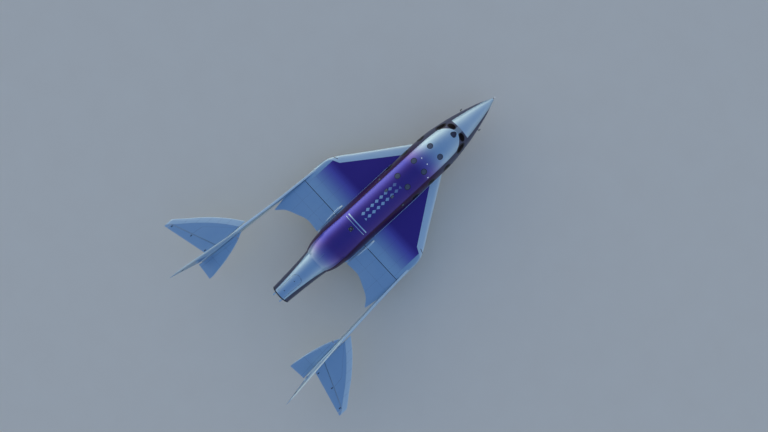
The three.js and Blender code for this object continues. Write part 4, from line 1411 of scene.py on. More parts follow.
def hinge_row(station, inner, outer, foot, top, radius):
    """One station of a fairing with rounded upper corners"""
    turn = np.radians(np.linspace(0, 90, 5))
    reach, rise = radius * np.cos(turn), radius * np.sin(turn)
    right = np.stack([outer - radius + reach, top - radius + rise], -1)
    left = np.stack([inner + radius - rise, top - radius + reach], -1)
    return slice_at(station, np.vstack([[(outer, foot)], right, left, [(inner, foot)]]))


def on_hinge(name, x, profile, sides=40, loop=False):
    """A piece turned about the folding axis, from x outwards"""
    return turned(name, profile, (x, at(HINGE), HINGE_Z), (1, 0, 0), sides, loop)


def eye_profile(radius, wide, edge):
    """A thick washer with the pin's hole, as wide as the ear or lug that it ends"""
    return [
        (PIN_HOLE, 0), (radius - edge, 0), (radius, edge), (radius, wide - edge), (radius - edge, wide),
        (PIN_HOLE, wide),
    ]


# %% Fork and pin
fork_rings = []
for share in np.linspace(0.0, 1.0, 22):
    station = FORK["front"] + share * (HINGE - RUNNING_GAP / 2 - FORK["front"])
    rise = 1 - (1 - min(share / 0.62, 1.0)) ** 2
    slim = 0.035 * (1 - rise)
    top = FORK["foot"] + 0.03 + (HINGE_Z + FORK["eye"] - FORK["foot"] - 0.03) * rise
    inner, outer = FORK["inner"] + slim, FORK["outer"] - slim
    fork_rings.append(hinge_row(station, inner, outer, FORK["foot"], top, 0.016))
fork_skin = lofted("hinge_fork_l", fork_rings)
slot_low, slot_high = FORK["inner"] + FORK["cheek"], FORK["outer"] - FORK["cheek"]
slot = slot_high - slot_low
cut(fork_skin, on_hinge("slot", slot_low, [(0.001, 0), (0.036, 0), (0.036, slot), (0.001, slot)]))
ear = eye_profile(FORK["eye"], FORK["cheek"], 0.003)
ears = [on_hinge("ear", start, ear, loop=True) for start in (FORK["inner"], slot_high)]
dress_pair(joined("hinge_fork_l", [fork_skin, *ears]), WHITE_AND_HIGHLIGHT_PAINT, "root", ["hinge_fairing"])
pin = on_hinge("hinge_pin_l", FORK["inner"], [
    (0.001, -0.008), (0.013, -0.008), (0.017, -0.005), (0.017, -0.0005), (0.012, 0.0), (0.012, 0.130),
    (0.017, 0.1305), (0.017, 0.136), (0.013, 0.139), (0.001, 0.139)
], 28)
dress_pair(pin, BARE_METAL, "root")

# %% Lug
lug_low, lug_high = slot_low + LUG["slack"], slot_high - LUG["slack"]
lug_rings = []
for share in np.linspace(0.0, 1.0, 20):
    station = HINGE + 0.012 + share * (LUG["back"] - HINGE - 0.012)
    flap_share = (station - FLAP_FRONT) / (FLAP_EDGE[0][1] - FLAP_FRONT)
    skin = WING_MID + column(WING_SECTIONS, 3)(LUG["middle"]) * flap_shape(flap_share)
    top = skin + (HINGE_Z + 0.018 - skin) * (1 - share) ** 1.3 + 0.006
    slim = 0.020 * share ** 2
    lug_rings.append(hinge_row(station, lug_low + slim, lug_high - slim, skin - 0.02, float(top), 0.006))
lug = lofted("lug", lug_rings)
eye = on_hinge("eye", lug_low, eye_profile(LUG["eye"], lug_high - lug_low, 0.002), loop=True)
bore = [(0.001, -0.01), (PIN_HOLE, -0.01), (PIN_HOLE, 0.1), (0.001, 0.1)]
cut(lug, on_hinge("bore", lug_low, bore))
dress_pair(joined("hinge_lug_l", [lug, eye]), WHITE_AND_HIGHLIGHT_PAINT, "feather")
print("hinges made")

# %% [markdown]
# ## Booms
# The booms stand on edge, thin across and deep, and rise towards the tail. They toe out by three
# degrees, so everything on them is worked out in the boom's own plane and then turned into place.

# %% Boom skins
# Distance aft of the hinge, half width, bottom and top
BOOM_SECTIONS = [
    (0.006, 0.075, 1.24, 1.70), (1.62, 0.078, 1.40, 1.90), (2.77, 0.080, 1.60, 2.25),
    (3.87, 0.090, 1.83, 2.60), (4.47, 0.100, 1.91, 2.64), (5.17, 0.100, 1.96, 2.66),
    (6.07, 0.070, 2.00, 2.64), (6.74, 0.034, 2.06, 2.60),
]


def boom_place(across, along, height):
    """A point in the boom's own plane, turned outwards about the hinge"""
    c, s = math.cos(TOE_OUT), math.sin(TOE_OUT)
    return np.stack([
        BOOM_X + across * c + along * s, at(HINGE) - across * s + along * c, height + 0 * across
    ], -1)


def to_boom(x, station):
    """The way back: distance across and along the boom"""
    c, s = math.cos(TOE_OUT), math.sin(TOE_OUT)
    dx, dy = x - BOOM_X, station - HINGE
    return dx * c - dy * s, dx * s + dy * c


def boom_rings(sections, count):
    """Rings between a circle and a square: a sine raised to a small power has flats"""
    along = np.linspace(sections[0][0], sections[-1][0], count)
    half, low, high = through(sections, along).T
    phase = (np.arange(48) + 0.5) / 48 * 2 * math.pi
    squareness = 2 / 5
    wave = np.sign(np.sin(phase)) * np.abs(np.sin(phase)) ** squareness
    rise = np.sign(np.cos(phase)) * np.abs(np.cos(phase)) ** squareness
    return boom_place(
        half[:, None] * wave, along[:, None], (low + high)[:, None] / 2 + (high - low)[:, None] / 2 * rise
    )


def mark_boom(obj, sections):
    """How far each vertex lies below the boom's top and to the side of its middle"""
    x, station, z = places(obj)
    across, along = to_boom(x, station)
    mark(obj, "edge", straight(sections, along, 3) - z)
    mark(obj, "across", across)
    return obj


boom_skin = lofted("boom_skin_l", boom_rings(BOOM_SECTIONS, 110))
dress_pair(mark_boom(boom_skin, BOOM_SECTIONS), BOOM_PAINT, "feather", ["boom"])
nose_sections = [(-1.25, 0.012, 1.40, 1.44), (-0.6, 0.06, 1.30, 1.60), (-0.006, 0.075, 1.24, 1.70)]
boom_nose = lofted("boom_nose_l", boom_rings(nose_sections, 40))
dress_pair(mark_boom(boom_nose, nose_sections), BOOM_PAINT, "root")

# %% [markdown]
# ## Fins and rudders
# A fin is a panel whose span runs upwards in the boom's plane. The rudder fills a notch in it, which is
# cut with a prism a running gap larger than the rudder.

# %% Fin helpers
# Height, stations of the leading and trailing edges, half thickness
FIN_SECTIONS = [
    (2.30, 14.098, 17.30, 0.058), (3.0, 15.156, 17.595, 0.050), (3.8, 16.366, 17.932, 0.042),
    (4.45, 17.349, 18.206, 0.028), (4.6, 17.6, 18.272, 0.016), (4.65, 17.8, 18.29, 0.006),
]
VENTRAL_SECTIONS = [
    (1.10, 17.06, 17.60, 0.008), (1.18, 16.93, 17.56, 0.024), (1.7, 15.95, 17.40, 0.040),
    (2.299, 14.75, 17.38, 0.052),
]
BLADE_PROFILE = [(0, 0), (0.245, 0.5), (0.5, 1), (0.775, 0.9), (1, 0.1)]
RUDDER_LOW, RUDDER_HIGH = 3.05, 4.33
RUDDER_HINGE = ((16.93, 0.030), (17.815, 0.018))


def blade_shape(share, span):
    """A round nose, thickest at a quarter of the chord, and a thin tail"""
    return through(BLADE_PROFILE, np.sqrt(share))[..., 0]


def fin_place(span, chord, lift):
    """Span upwards, chord aft and lift across, in the boom's plane"""
    return boom_place(lift, chord - HINGE, span)


def fin_panel(name, rows, low, high):
    return panel(
        name, line(rows, 1), line(rows, 2), line(rows, 3), blade_shape, level(low), level(high),
        fin_place, spans=60, chords=30,
    )


def mark_fin(obj, rows):
    """How far each vertex lies aft of the fin's leading edge"""
    x, station, z = places(obj)
    mark(obj, "edge", to_boom(x, station)[1] + HINGE - straight(rows, z, 1))
    return obj


def rudder_hinge(height):
    """Station of the rudder's hinge at a height, and radius of its nose there"""
    share = (height - RUDDER_LOW) / (RUDDER_HIGH - RUDDER_LOW)
    (low, low_nose), (high, high_nose) = RUDDER_HINGE
    return low + share * (high - low), low_nose + share * (high_nose - low_nose)


RUDDER_SWEEP = math.atan2(RUDDER_HINGE[1][0] - RUDDER_HINGE[0][0], RUDDER_HIGH - RUDDER_LOW)


NOTCH = {"half": 0.1, "back": 8.2}


def notch():
    """Room for the rudder"""
    half, back = NOTCH["half"], NOTCH["back"]
    rings = []
    for height in (RUDDER_LOW - RUNNING_GAP, RUDDER_HIGH + 2 * RUNNING_GAP):
        hinge, nose = rudder_hinge(height)
        start = hinge - (nose + RUNNING_GAP) / math.cos(RUDDER_SWEEP) - HINGE
        corners = np.array([(-half, start), (half, start), (half, back), (-half, back)])
        rings.append(boom_place(corners[:, 0], corners[:, 1], height))
    return lofted("notch", rings)


# %% Fin and rudder skins
fin_skin = cut(fin_panel("fin_skin_l", FIN_SECTIONS, 2.45, 4.65), notch(), sharp=30)
dress_pair(mark_fin(fin_skin, FIN_SECTIONS), FIN_PAINT, "feather", ["fin"])
ventral_skin = fin_panel("ventral_skin_l", VENTRAL_SECTIONS, 1.10, 2.2)
dress_pair(mark_fin(ventral_skin, VENTRAL_SECTIONS), FIN_PAINT, "feather", ["ventral_fin"])

rudder_rings = []
for height in np.linspace(RUDDER_LOW, RUDDER_HIGH, 16):
    hinge, nose = rudder_hinge(height)
    back = straight(FIN_SECTIONS, height, 2)
    turn = np.radians(np.linspace(90, 270, 17))
    across = np.concatenate([nose * np.sin(turn), [-0.003, 0.003]])
    along = np.concatenate([hinge + nose * np.cos(turn) / math.cos(RUDDER_SWEEP), [back, back]]) - HINGE
    rudder_rings.append(boom_place(across, along, height))
rudder_skin = lofted("rudder_skin_l", rudder_rings)
dress_pair(rudder_skin, RUDDER_PAINT, "rudder", ["rudder"])

# %% [markdown]
# ## Stabilisers and elevons
# Each stabiliser has an outboard and an inboard half on one shaft through the boom. The elevon hangs on
# the outboard half and gets the same round nose as the rudder, so its gap stays even as it turns.

# %% Stabiliser tables
STABILISER_Z = 2.35
STABILISER_TIP = 6.77
INBOARD_TIP = 3.115
# Distance out, stations of the leading and trailing edges, half thickness
STABILISER_SECTIONS = [
    (4.1, 14.22, 16.846, 0.082), (4.72, 14.69, 16.998, 0.074), (5.24, 15.17, 17.125, 0.064),
    (5.77, 15.74, 17.255, 0.052), (6.29, 16.39, 17.383, 0.040), (6.7, 16.885, 17.483, 0.028),
    (STABILISER_TIP, 16.985, 17.50, 0.010),
]
INBOARD_SECTIONS = [
    (INBOARD_TIP, 17.35, 17.63, 0.008), (3.16, 17.02, 17.625, 0.018), (3.24, 16.49, 17.615, 0.030),
    (3.36, 15.97, 17.60, 0.042), (3.51, 15.44, 17.585, 0.052), (3.822, 14.70, 17.555, 0.064),
    (3.96, 14.40, 17.545, 0.066),
]
# Distance out of the root edge at a station
STABILISER_ROOT = ((14.1, 4.070), (15.0, 4.090), (15.2, 4.105), (16.3, 4.135), (17.9, 4.190))
INBOARD_ROOT = (
    (14.3, 3.806), (15.0, 3.843), (15.7, 3.882), (16.2, 3.920), (16.6, 3.957), (17.0, 3.998),
    (17.6, 4.052),
)
# Both ends of the elevon's hinge: distance out, station, radius of the nose
ELEVON = ((4.25, 16.240, 0.039), (6.60, 17.186, 0.019))
ELEVON_SWEEP = math.atan2(ELEVON[1][1] - ELEVON[0][1], ELEVON[1][0] - ELEVON[0][0])


def elevon_hinge(share):
    """Distance out, station and radius of the nose, at a share of the hinge's length"""
    return tuple(a + share * (b - a) for a, b in zip(*ELEVON))


def elevon_room():
    """What the outboard half leaves free for the elevon"""
    points = []
    for share in (-0.3, 1.009):
        x, station, nose = elevon_hinge(share)
        points.append((x, station - (nose + RUNNING_GAP) / math.cos(ELEVON_SWEEP)))
    points += [(points[1][0], 18.0), (3.9, 18.0)]
    corners = np.array(points)
    return lofted("room", [
        np.stack([corners[:, 0], at(corners[:, 1]), np.full(4, height)], -1)
        for height in (STABILISER_Z - 0.3, STABILISER_Z + 0.3)
    ])


# %% Stabiliser skins
def stabiliser_panel(name, rows, root, tip, spans, room=()):
    """A half with its mark: how far each vertex lies aft of the leading edge"""
    skin = panel(
        name, column(rows, 1), line(rows, 2), column(rows, 3), blade_shape,
        lambda chord, lift: straight(root, chord), level(tip), plan_place(STABILISER_Z), spans, chords=32,
    )
    if room:
        cut(skin, *room, sharp=30)
    x, station, z = places(skin)
    mark(skin, "edge", station - straight(rows, x, 1))
    return skin


outboard_skin = stabiliser_panel(
    "stabiliser_skin_l", STABILISER_SECTIONS, STABILISER_ROOT, STABILISER_TIP, 60, [elevon_room()]
)
dress_pair(outboard_skin, TAIL_PAINT, "stabiliser", ["stabiliser_out"])
inboard_skin = stabiliser_panel("inboard_skin_l", INBOARD_SECTIONS, INBOARD_ROOT, INBOARD_TIP, 50)
dress_pair(inboard_skin, TAIL_PAINT, "stabiliser", ["stabiliser_in"])

# %% Elevon skins
elevon_rings = []
for share in np.linspace(-0.045, 1, 25):
    x, hinge, nose = elevon_hinge(share)
    back = straight(STABILISER_SECTIONS, x, 2)
    turn = np.radians(np.linspace(90, 270, 17))
    height = np.concatenate([nose * np.sin(turn), [-0.003, 0.003]]) + STABILISER_Z
    along = np.concatenate([hinge + nose * np.cos(turn) / math.cos(ELEVON_SWEEP), [back, back]])
    elevon_rings.append(np.stack([np.full(19, x), at(along), height], -1))
elevon_skin = lofted("elevon_skin_l", elevon_rings)
dress_pair(elevon_skin, ELEVON_PAINT, "elevon", ["elevon"])
print("tail made")

# %% [markdown]
# ## Small fittings on the tail
# Hinge fairings, pin ends and brackets show as dark marks on the pale panels. Each rides on the surface
# that it is bolted to, and stands clear of its neighbour.


# %% Elevon bumps
BUMP = {"long": 0.13, "half": 0.0275, "high": 0.024, "sunk": -0.012}


def bump(x, station, height):
    """A low streamlined fairing, long in the direction of flight"""
    rings = []
    for share in np.linspace(0, 1, 10):
        swell = math.sin(math.pi * (0.06 + 0.88 * share)) ** 0.7
        phase = np.radians(np.linspace(0, 180, 11))
        half = BUMP["half"] * swell
        across = np.concatenate([half * np.cos(phase), [-half, half]])
        lift = np.concatenate([BUMP["high"] * swell * np.sin(phase), [BUMP["sunk"], BUMP["sunk"]]])
        along = station + (share - 0.5) * BUMP["long"]
        rings.append(slice_at(along, np.stack([x + across, height + lift], -1)))
    return lofted("bump", rings)


# Distance out, distance aft of the hinge, height over the hinge line in radii of the nose
ELEVON_BUMPS = ((4.385, 0.50, 0.20), (5.44, 0.08, 0.80), (6.49, 0.07, 0.80))
elevon_bumps = []
for x, aft, lift in ELEVON_BUMPS:
    share = (x - ELEVON[0][0]) / (ELEVON[1][0] - ELEVON[0][0])
    _, hinge, nose = elevon_hinge(share)
    elevon_bumps.append(bump(x, hinge + aft, STABILISER_Z + nose * lift))
dress_pair(joined("elevon_fairing_l", elevon_bumps), DARK_METAL, "elevon")

# %% Rudder brackets
rudder_brackets = []
for height in (3.32, 4.08):
    hinge, nose = rudder_hinge(height)
    along = hinge + 0.09 - HINGE
    for sign in (-1, 1):
        start = boom_place(sign * nose * 0.80, along - 0.06, height - 0.018)
        end = boom_place(sign * nose * 0.62, along + 0.10, height - 0.012)
        rudder_brackets.append(rod("bracket", start, end, 0.013, 12))
dress_pair(joined("rudder_bracket_l", rudder_brackets), DARK_METAL, "rudder")

# %% Rudder horns
RUDDER_HORN = {"height": 3.30, "long": 0.20, "deep": 0.075, "stand": 0.050}
hinge, nose = rudder_hinge(RUDDER_HORN["height"])
horn_rings = []
for share in np.linspace(0.0, 1.0, 10):
    swell = math.sin(math.pi * (0.08 + 0.84 * share)) ** 0.6
    turn = np.radians(np.linspace(0, 180, 11))
    height = RUDDER_HORN["height"] + RUDDER_HORN["deep"] / 2 * swell * np.cos(turn)
    across = -nose * 0.6 - RUDDER_HORN["stand"] * swell * np.sin(turn)
    along = hinge + 0.02 + share * RUDDER_HORN["long"] - HINGE
    horn_rings.append(boom_place(across, np.full(11, along), height))
dress_pair(lofted("rudder_horn_l", horn_rings), PALE_PAINT, "rudder")

# %% Stabiliser shaft collars
SHAFT_STATION = 15.10
COLLAR = {"out": 0.115, "thick": 0.03}
across_boom = boom_place(1.0, 0.0, 0.0) - boom_place(0.0, 0.0, 0.0)
collar_profile = [
    (0.050, 0), (0.078, 0.0), (0.082, 0.004), (0.082, COLLAR["thick"] - 0.004),
    (0.078, COLLAR["thick"]), (0.050, COLLAR["thick"]),
]
collars = []
for sign in (1, -1):
    start = boom_place(sign * COLLAR["out"] - COLLAR["thick"] / 2, SHAFT_STATION - HINGE, STABILISER_Z)
    collars.append(turned("collar", collar_profile, start, across_boom, 32, loop=True))
dress_pair(joined("shaft_collar_l", collars), BARE_METAL, "feather")
print("tail fittings made")

# %% [markdown]
# ## Nozzle and tail ring
# The rocket's bell stands inside the tail, flush with a dark ring. The bell is a turned wall: its inner
# side is charred composite, wound from tape, with its grain running around; its colour darkens with depth.


# %% Charred liner
BELL_MOUTH = 15.49
SOOT_DARK = (0.05, 0.048, 0.046)
SOOT_LIGHT = (0.13, 0.12, 0.115)
BELL_DEPTH_DARK = (0.008, 0.008, 0.008)


def char_finish():
    finish = Finish("charred_liner")
    where, x, y, z = finish.place()
    depth = BELL_MOUTH - (y + MIDDLE)
    soot = finish.noise(where, 9.0, 5.0, 0.65)
    wound = finish.noise(finish.node("ShaderNodeMapping", Vector=where, Scale=(4.0, 160.0, 4.0)), 1.0, 2.0)
    # Darker with depth inside the bell
    deep = depth.above(0.30, 0.28)
    finish.feed("Base Color", finish.blend(deep, finish.blend(soot, SOOT_DARK, SOOT_LIGHT), BELL_DEPTH_DARK))
    finish.feed("Roughness", 0.62 + soot * 0.25)
    finish.bump(wound * 0.6 + soot * 0.4, 0.003, 0.4)
    return finish


# %% Bell
TAIL_END = SPLITS["tail"]
TAIL_Z = 2.18
TAIL_SPOT = (0, at(TAIL_END), TAIL_Z)
AFT = (0, 1, 0)
bell_profile = [
    (0.160, -0.735), (0.166, -0.66), (0.200, -0.575), (0.262, -0.475), (0.330, -0.37), (0.388, -0.27),
    (0.438, -0.15), (0.466, -0.04), (0.480, 0.060),
]
bell_profile += [
    (0.4975, 0.058), (0.4995, 0.054), (0.4995, -0.04), (0.470, -0.12), (0.410, -0.26), (0.300, -0.46),
    (0.235, -0.66), (0.232, -0.77), (0.001, -0.77), (0.001, -0.735),
]
bell = turned("nozzle_bell", bell_profile, TAIL_SPOT, AFT, 96)
dress(bell, char_finish(), "root", ["nozzle"])

# %% Tail ring
RING = {"bolts": 24, "bolt_radius": 0.527, "long": 0.060}
ring_profile = [
    (0.5005, 0.0006), (0.5545, 0.0006), (0.5565, 0.004), (0.5555, 0.050), (0.5500, 0.0595),
    (0.5440, RING["long"]), (0.506, RING["long"]), (0.5005, 0.056),
]
tail_ring = turned("tail_ring_skin", ring_profile, TAIL_SPOT, AFT, 96, loop=True)
dress(tail_ring, DARK_METAL, "root", ["tail_ring"])
ring_bolts = []
for turn in np.arange(RING["bolts"]) / RING["bolts"] * 2 * math.pi:
    across, up = RING["bolt_radius"] * math.sin(turn), RING["bolt_radius"] * math.cos(turn)
    ring_bolts.append((Vector((across, at(TAIL_END + RING["long"]), TAIL_Z + up)), AFT))
dress(bolts("tail_ring_bolts", ring_bolts, 0.007, 0.003), BARE_METAL, "root")

# %% Vent stubs
VENT = {"x": 0.236, "up": 0.472, "length": 0.180}
vent_profile = [
    (0.028, 0.03), (0.028, VENT["length"]), (0.036, VENT["length"]), (0.039, VENT["length"] - 0.003),
    (0.039, 0.03), (0.046, 0.026), (0.046, 0.0005), (0.001, 0.0005), (0.001, 0.03),
]
vent_spot = (VENT["x"], at(TAIL_END + RING["long"] + 0.0005), TAIL_Z + VENT["up"])
vent_tube = turned("vent_tube_l", vent_profile, vent_spot, AFT, 36)
dress_pair(vent_tube, PALE_PAINT, "root", ["vent_stub"])
print("nozzle made")

# %% [markdown]
# ## Metals and rubber
# Bare metal, dark metal and rubber differ in three numbers: how dark, how rough and how metallic. The
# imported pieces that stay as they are, such as the carry pads and the cabin floor, take them as well.

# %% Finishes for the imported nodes
RUBBER = metal_finish("rubber", (0.012, 0.012, 0.012), (0.03, 0.03, 0.03), 0.75, 0.0)
TRIM = metal_finish("cabin_trim", (0.16, 0.17, 0.19), (0.24, 0.25, 0.27), 0.7, 0.0)
LINER = metal_finish("bay_liner", (0.40, 0.42, 0.42), (0.52, 0.54, 0.54), 0.55, 0.0, 20.0)
SLOT_FINISH = {
    "white": PALE_PAINT, "violet": PALE_PAINT, "bare_metal": BARE_METAL, "dark_metal": DARK_METAL,
    "tyre": RUBBER, "cabin_trim": TRIM, "dark_gloss": DARK_METAL, "pane": GLASS,
}
slots = {part["node"]: part["material_slot"] for part in frame["record"]["subparts"]}
for node, obj in frame["nodes"].items():
    finish = PAD_METAL if node.startswith("carry_pad") else SLOT_FINISH[slots[node]]
    obj.data.materials.clear()
    obj.data.materials.append(finish.material)

# %% [markdown]
# ## Main gear
# The gear hides from the camera above, but a parked aircraft is looked at from the side too. Each leg is
# a damped strut: a wide tube above, a polished piston that slides in it, and two hinged links behind it
# that keep the wheel pointing forward. The bay is a pocket in the wing with a ribbed liner, so that the
# leg has somewhere to go.


# %% Trays, links and plates
TRAY_WALL = 0.006


def tray(name, low, high):
    """A box with its mouth down"""
    low, high = Vector(low), Vector(high)
    inside = Vector((TRAY_WALL, TRAY_WALL, TRAY_WALL))
    room_low = Vector((low.x + TRAY_WALL, low.y + TRAY_WALL, low.z - 0.1))
    return cut(block(name, low, high, 0.012), block("room", room_low, high - inside, 0.010))


STRAP_SECTION = (
    (-1, -0.6), (-0.9, -1), (0.9, -1), (1, -0.6), (1, 0.6), (0.9, 1), (-0.9, 1), (-1, 0.6),
)


def strap(name, start, end, wide, thick):
    """A flat link that lies across the aircraft, with a width at each end"""
    start, end = Vector(start), Vector(end)
    flat = (end - start).normalized().cross(Vector((1, 0, 0))).normalized()
    return lofted(name, [
        [point + Vector((x * width / 2, 0, 0)) + flat * z * thick / 2 for x, z in STRAP_SECTION]
        for point, width in zip((start, end), wide)
    ])


def pin(x, y, z, half, radius, sides):
    """A pin that lies across the aircraft"""
    return rod("pin", (x - half, y, z), (x + half, y, z), radius, sides)


def plates(name, x, out, half, low, high, edge):
    """Two plates, one either side of x, between two corners of (y, z)"""
    return [
        block(name, (x + sign * out - half, *low), (x + sign * out + half, *high), edge)
        for sign in (-1, 1)
    ]


def rounded(wide, high, radius, steps):
    """A rectangle with round corners, as points round its centre"""
    points = []
    for quarter, (x, y) in enumerate(((1, 1), (-1, 1), (-1, -1), (1, -1))):
        for turn in np.radians(np.linspace(0, 90, steps) + 90 * quarter):
            points.append((
                x * (wide / 2 - radius) + radius * math.cos(turn),
                y * (high / 2 - radius) + radius * math.sin(turn),
            ))
    return np.array(points)


# %% Bay liner
roof = BAY["roof"] - 0.001
liner = [tray(
    "liner", (BAY["inner"] + 0.001, at(BAY["front"]) + 0.001, BAY["mouth"]),
    (BAY["outer"] - 0.001, at(BAY["back"]) - 0.001, roof)
)]
for station in (9.52, 9.74, 10.24):
    liner.append(block(
        "rib", (BAY["inner"] + 0.006, at(station), roof - 0.050),
        (BAY["outer"] - 0.006, at(station) + 0.010, roof - 0.004), 0.002
    ))
for x in (1.245, 1.62):
    liner.append(block(
        "stringer", (x, at(BAY["front"]) + 0.006, roof - 0.032),
        (x + 0.012, at(BAY["back"]) - 0.006, roof - 0.004), 0.002
    ))
dress_pair(joined("gear_bay_liner_l", liner), LINER, "root")

# %% Gear leg
LEG = {"x": 1.315, "station": 10.0, "axle": 0.30, "top": 1.44, "trunnion": 1.43}
BRACE = {"station": 9.38, "low": 0.62, "high": 1.42}
leg_x, leg_y = LEG["x"], at(LEG["station"])
foot = (leg_x, leg_y, 0.0)
tube = turned("tube", [
    (0.041, 0.50), (0.056, 0.502), (0.060, 0.508), (0.060, 0.548), (0.056, 0.556), (0.053, 0.560),
    (0.053, 0.86), (0.057, 0.866), (0.057, 0.896), (0.053, 0.902), (0.053, 1.22), (0.060, 1.24),
    (0.060, LEG["top"]),
], foot, UP, 48)
knuckle = turned("knuckle", [
    (0.034, 0.240), (0.050, 0.246), (0.054, 0.256), (0.054, 0.352), (0.048, 0.362), (0.038, 0.366)
], foot, UP, 40)
trunnion_ends = [(x, leg_y, LEG["trunnion"]) for x in (BAY["inner"] + 0.008, BAY["outer"] - 0.008)]
brace_foot = (leg_x, leg_y - 0.035, BRACE["low"])
brace_y = at(BRACE["station"])
leg = [
    tube, knuckle, rod("trunnion", *trunnion_ends, 0.042, 32),
    rod("brace", brace_foot, (leg_x, brace_y, BRACE["high"]), 0.025, 28),
    rod("sleeve", brace_foot, np.add(brace_foot, (0, -0.09, 0.116)), 0.031, 28),
    pin(leg_x, leg_y - 0.055, BRACE["low"], 0.07, 0.016, 20),
    pin(leg_x, brace_y, BRACE["high"], 0.07, 0.018, 20),
    *plates("cheek", leg_x, 0.048, 0.007, (leg_y - 0.085, 0.585), (leg_y, 0.655), 0.005),
    *plates("lug", leg_x, 0.048, 0.008, (at(9.35), 1.39), (at(9.41), roof - 0.004), 0.004),
]
dress_pair(joined("gear_leg_skin_l", leg), PALE_PAINT, "root", ["gear_leg"])
piston = turned(
    "gear_piston_l", [(0.036, 0.358), (0.0375, 0.360), (0.0375, 0.510), (0.034, 0.512)], foot, UP, 48
)
dress_pair(piston, BRIGHT, "root")

# %% Axle and torque links
AXLE = {"inner": 1.262, "nut": 1.5865, "outer": 1.589}
LINK = {"wide": (0.080, 0.036), "thick": 0.014, "apex": (0.185, 0.430)}
ACROSS = (1, 0, 0)
axle = rod("axle", (AXLE["inner"], leg_y, LEG["axle"]), (AXLE["outer"], leg_y, LEG["axle"]), 0.0285, 36)
nut = turned(
    "nut", [(0.037, 0), (0.037, 0.010), (0.032, 0.013), (0.016, 0.013)],
    (AXLE["nut"], leg_y, LEG["axle"]), ACROSS, 6, sharp=20
)
apex = (leg_x, leg_y + LINK["apex"][0], LINK["apex"][1])
links = [
    strap("link", (leg_x, leg_y + y, z), apex, LINK["wide"], LINK["thick"])
    for y, z in ((0.05, 0.525), (0.048, 0.325))
]
links += [
    pin(leg_x, leg_y + y, z, half, 0.011, 18)
    for y, z, half in ((*LINK["apex"], 0.030), (0.062, 0.515, 0.050), (0.060, 0.330, 0.050))
]
dress_pair(joined("gear_axle_l", [axle, nut, *links]), BARE_METAL, "root")

# %% Brake
WHEEL = (1.5, leg_y, LEG["axle"])
wheel_x = WHEEL[0]
CALLIPER = [
    ("jaw", (wheel_x - 0.126, 0.050, 0.345), (wheel_x - 0.104, 0.135, 0.420)),
    ("jaw", (wheel_x - 0.089, 0.050, 0.345), (wheel_x - 0.067, 0.135, 0.420)),
    ("bridge", (wheel_x - 0.126, 0.075, 0.415), (wheel_x - 0.067, 0.155, 0.440)),
    ("arm", (leg_x + 0.03, 0.01, 0.330), (wheel_x - 0.124, 0.110, 0.362)),
]
calliper = [
    block(name, np.add(low, (0, leg_y, 0)), np.add(high, (0, leg_y, 0)), 0.006)
    for name, low, high in CALLIPER
]
dress_pair(joined("brake_calliper_l", calliper), DARK_METAL, "root")

# %% Wheel and tyre
HALF_WHEEL = [
    (0.060, 0.084), (0.068, 0.078), (0.070, 0.045), (0.078, 0.033), (0.128, 0.030), (0.138, 0.038),
    (0.144, 0.068), (0.158, 0.0745), (0.1645, 0.072),
]
wheel_profile = [(0.0305, -0.084)] + [(r, -x) for r, x in HALF_WHEEL]
wheel_profile += HALF_WHEEL[::-1] + [(0.0305, 0.084)]
wheel = turned("wheel", wheel_profile, WHEEL, ACROSS, 72, loop=True)
SPOKES = {"count": 8, "hole_at": 0.106, "hole": 0.016, "bolt_at": 0.092, "bolt_out": 0.0315}


def on_wheel(radius, turn):
    return Vector(WHEEL) + radius * Vector((0, math.sin(turn), math.cos(turn)))


holes = []
wheel_bolts = []
for i in range(SPOKES["count"]):
    turn = 2 * math.pi * i / SPOKES["count"]
    holes.append(pin(*on_wheel(SPOKES["hole_at"], turn), 0.06, SPOKES["hole"], 24))
    turn += math.pi / SPOKES["count"]
    spot = on_wheel(SPOKES["bolt_at"], turn) + Vector((SPOKES["bolt_out"], 0, 0))
    wheel_bolts.append((spot, ACROSS))
cut(wheel, joined("holes", holes))
disc = turned("disc", [
    (0.062, -0.098), (0.128, -0.098), (0.1295, -0.0965), (0.1295, -0.0935), (0.128, -0.092), (0.062, -0.092)
], WHEEL, ACROSS, 64, loop=True)
hat = turned("hat", [
    (0.040, -0.0980), (0.064, -0.0980), (0.066, -0.0960), (0.066, -0.080), (0.040, -0.080)
], WHEEL, ACROSS, 48, loop=True)
wheel_skin = joined("wheel_skin_l", [wheel, disc, hat, bolts("bolts", wheel_bolts, 0.007, 0.005)])
dress_pair(wheel_skin, BARE_METAL, "wheel", ["wheel"])

# %% Tyre
TREAD = {"crown": 0.300, "drop": 0.006, "shoulder": 0.050, "grooves": (-0.040, -0.0135, 0.0135, 0.040)}
GROOVE = {"half": 0.0026, "deep": 0.006}


def tread_radius(x):
    """A crowned tread with grooves"""
    radius = TREAD["crown"] - TREAD["drop"] * (x / TREAD["shoulder"]) ** 2
    in_groove = min(abs(x - groove) for groove in TREAD["grooves"]) < GROOVE["half"]
    return radius - (GROOVE["deep"] if in_groove else 0.0)


tread = [-0.050, -0.027, 0.0, 0.027, 0.050]
for groove in TREAD["grooves"]:
    tread += [groove - 0.0035, groove - 0.0025, groove, groove + 0.0025, groove + 0.0035]
side_wall = [
    (0.285, 0.0680), (0.275, 0.0800), (0.262, 0.0870), (0.240, 0.0915), (0.220, 0.0905),
    (0.200, 0.0850), (0.185, 0.0785), (0.172, 0.0735), (0.1662, 0.0715),
]
tyre_profile = [(radius, -x) for radius, x in side_wall[::-1]]
tyre_profile += [(tread_radius(x), x) for x in sorted(tread)] + side_wall
tyre = turned("tyre_skin_l", tyre_profile, WHEEL, ACROSS, 96, loop=True, sharp=45)
dress_pair(tyre, RUBBER, "wheel", ["tyre"])

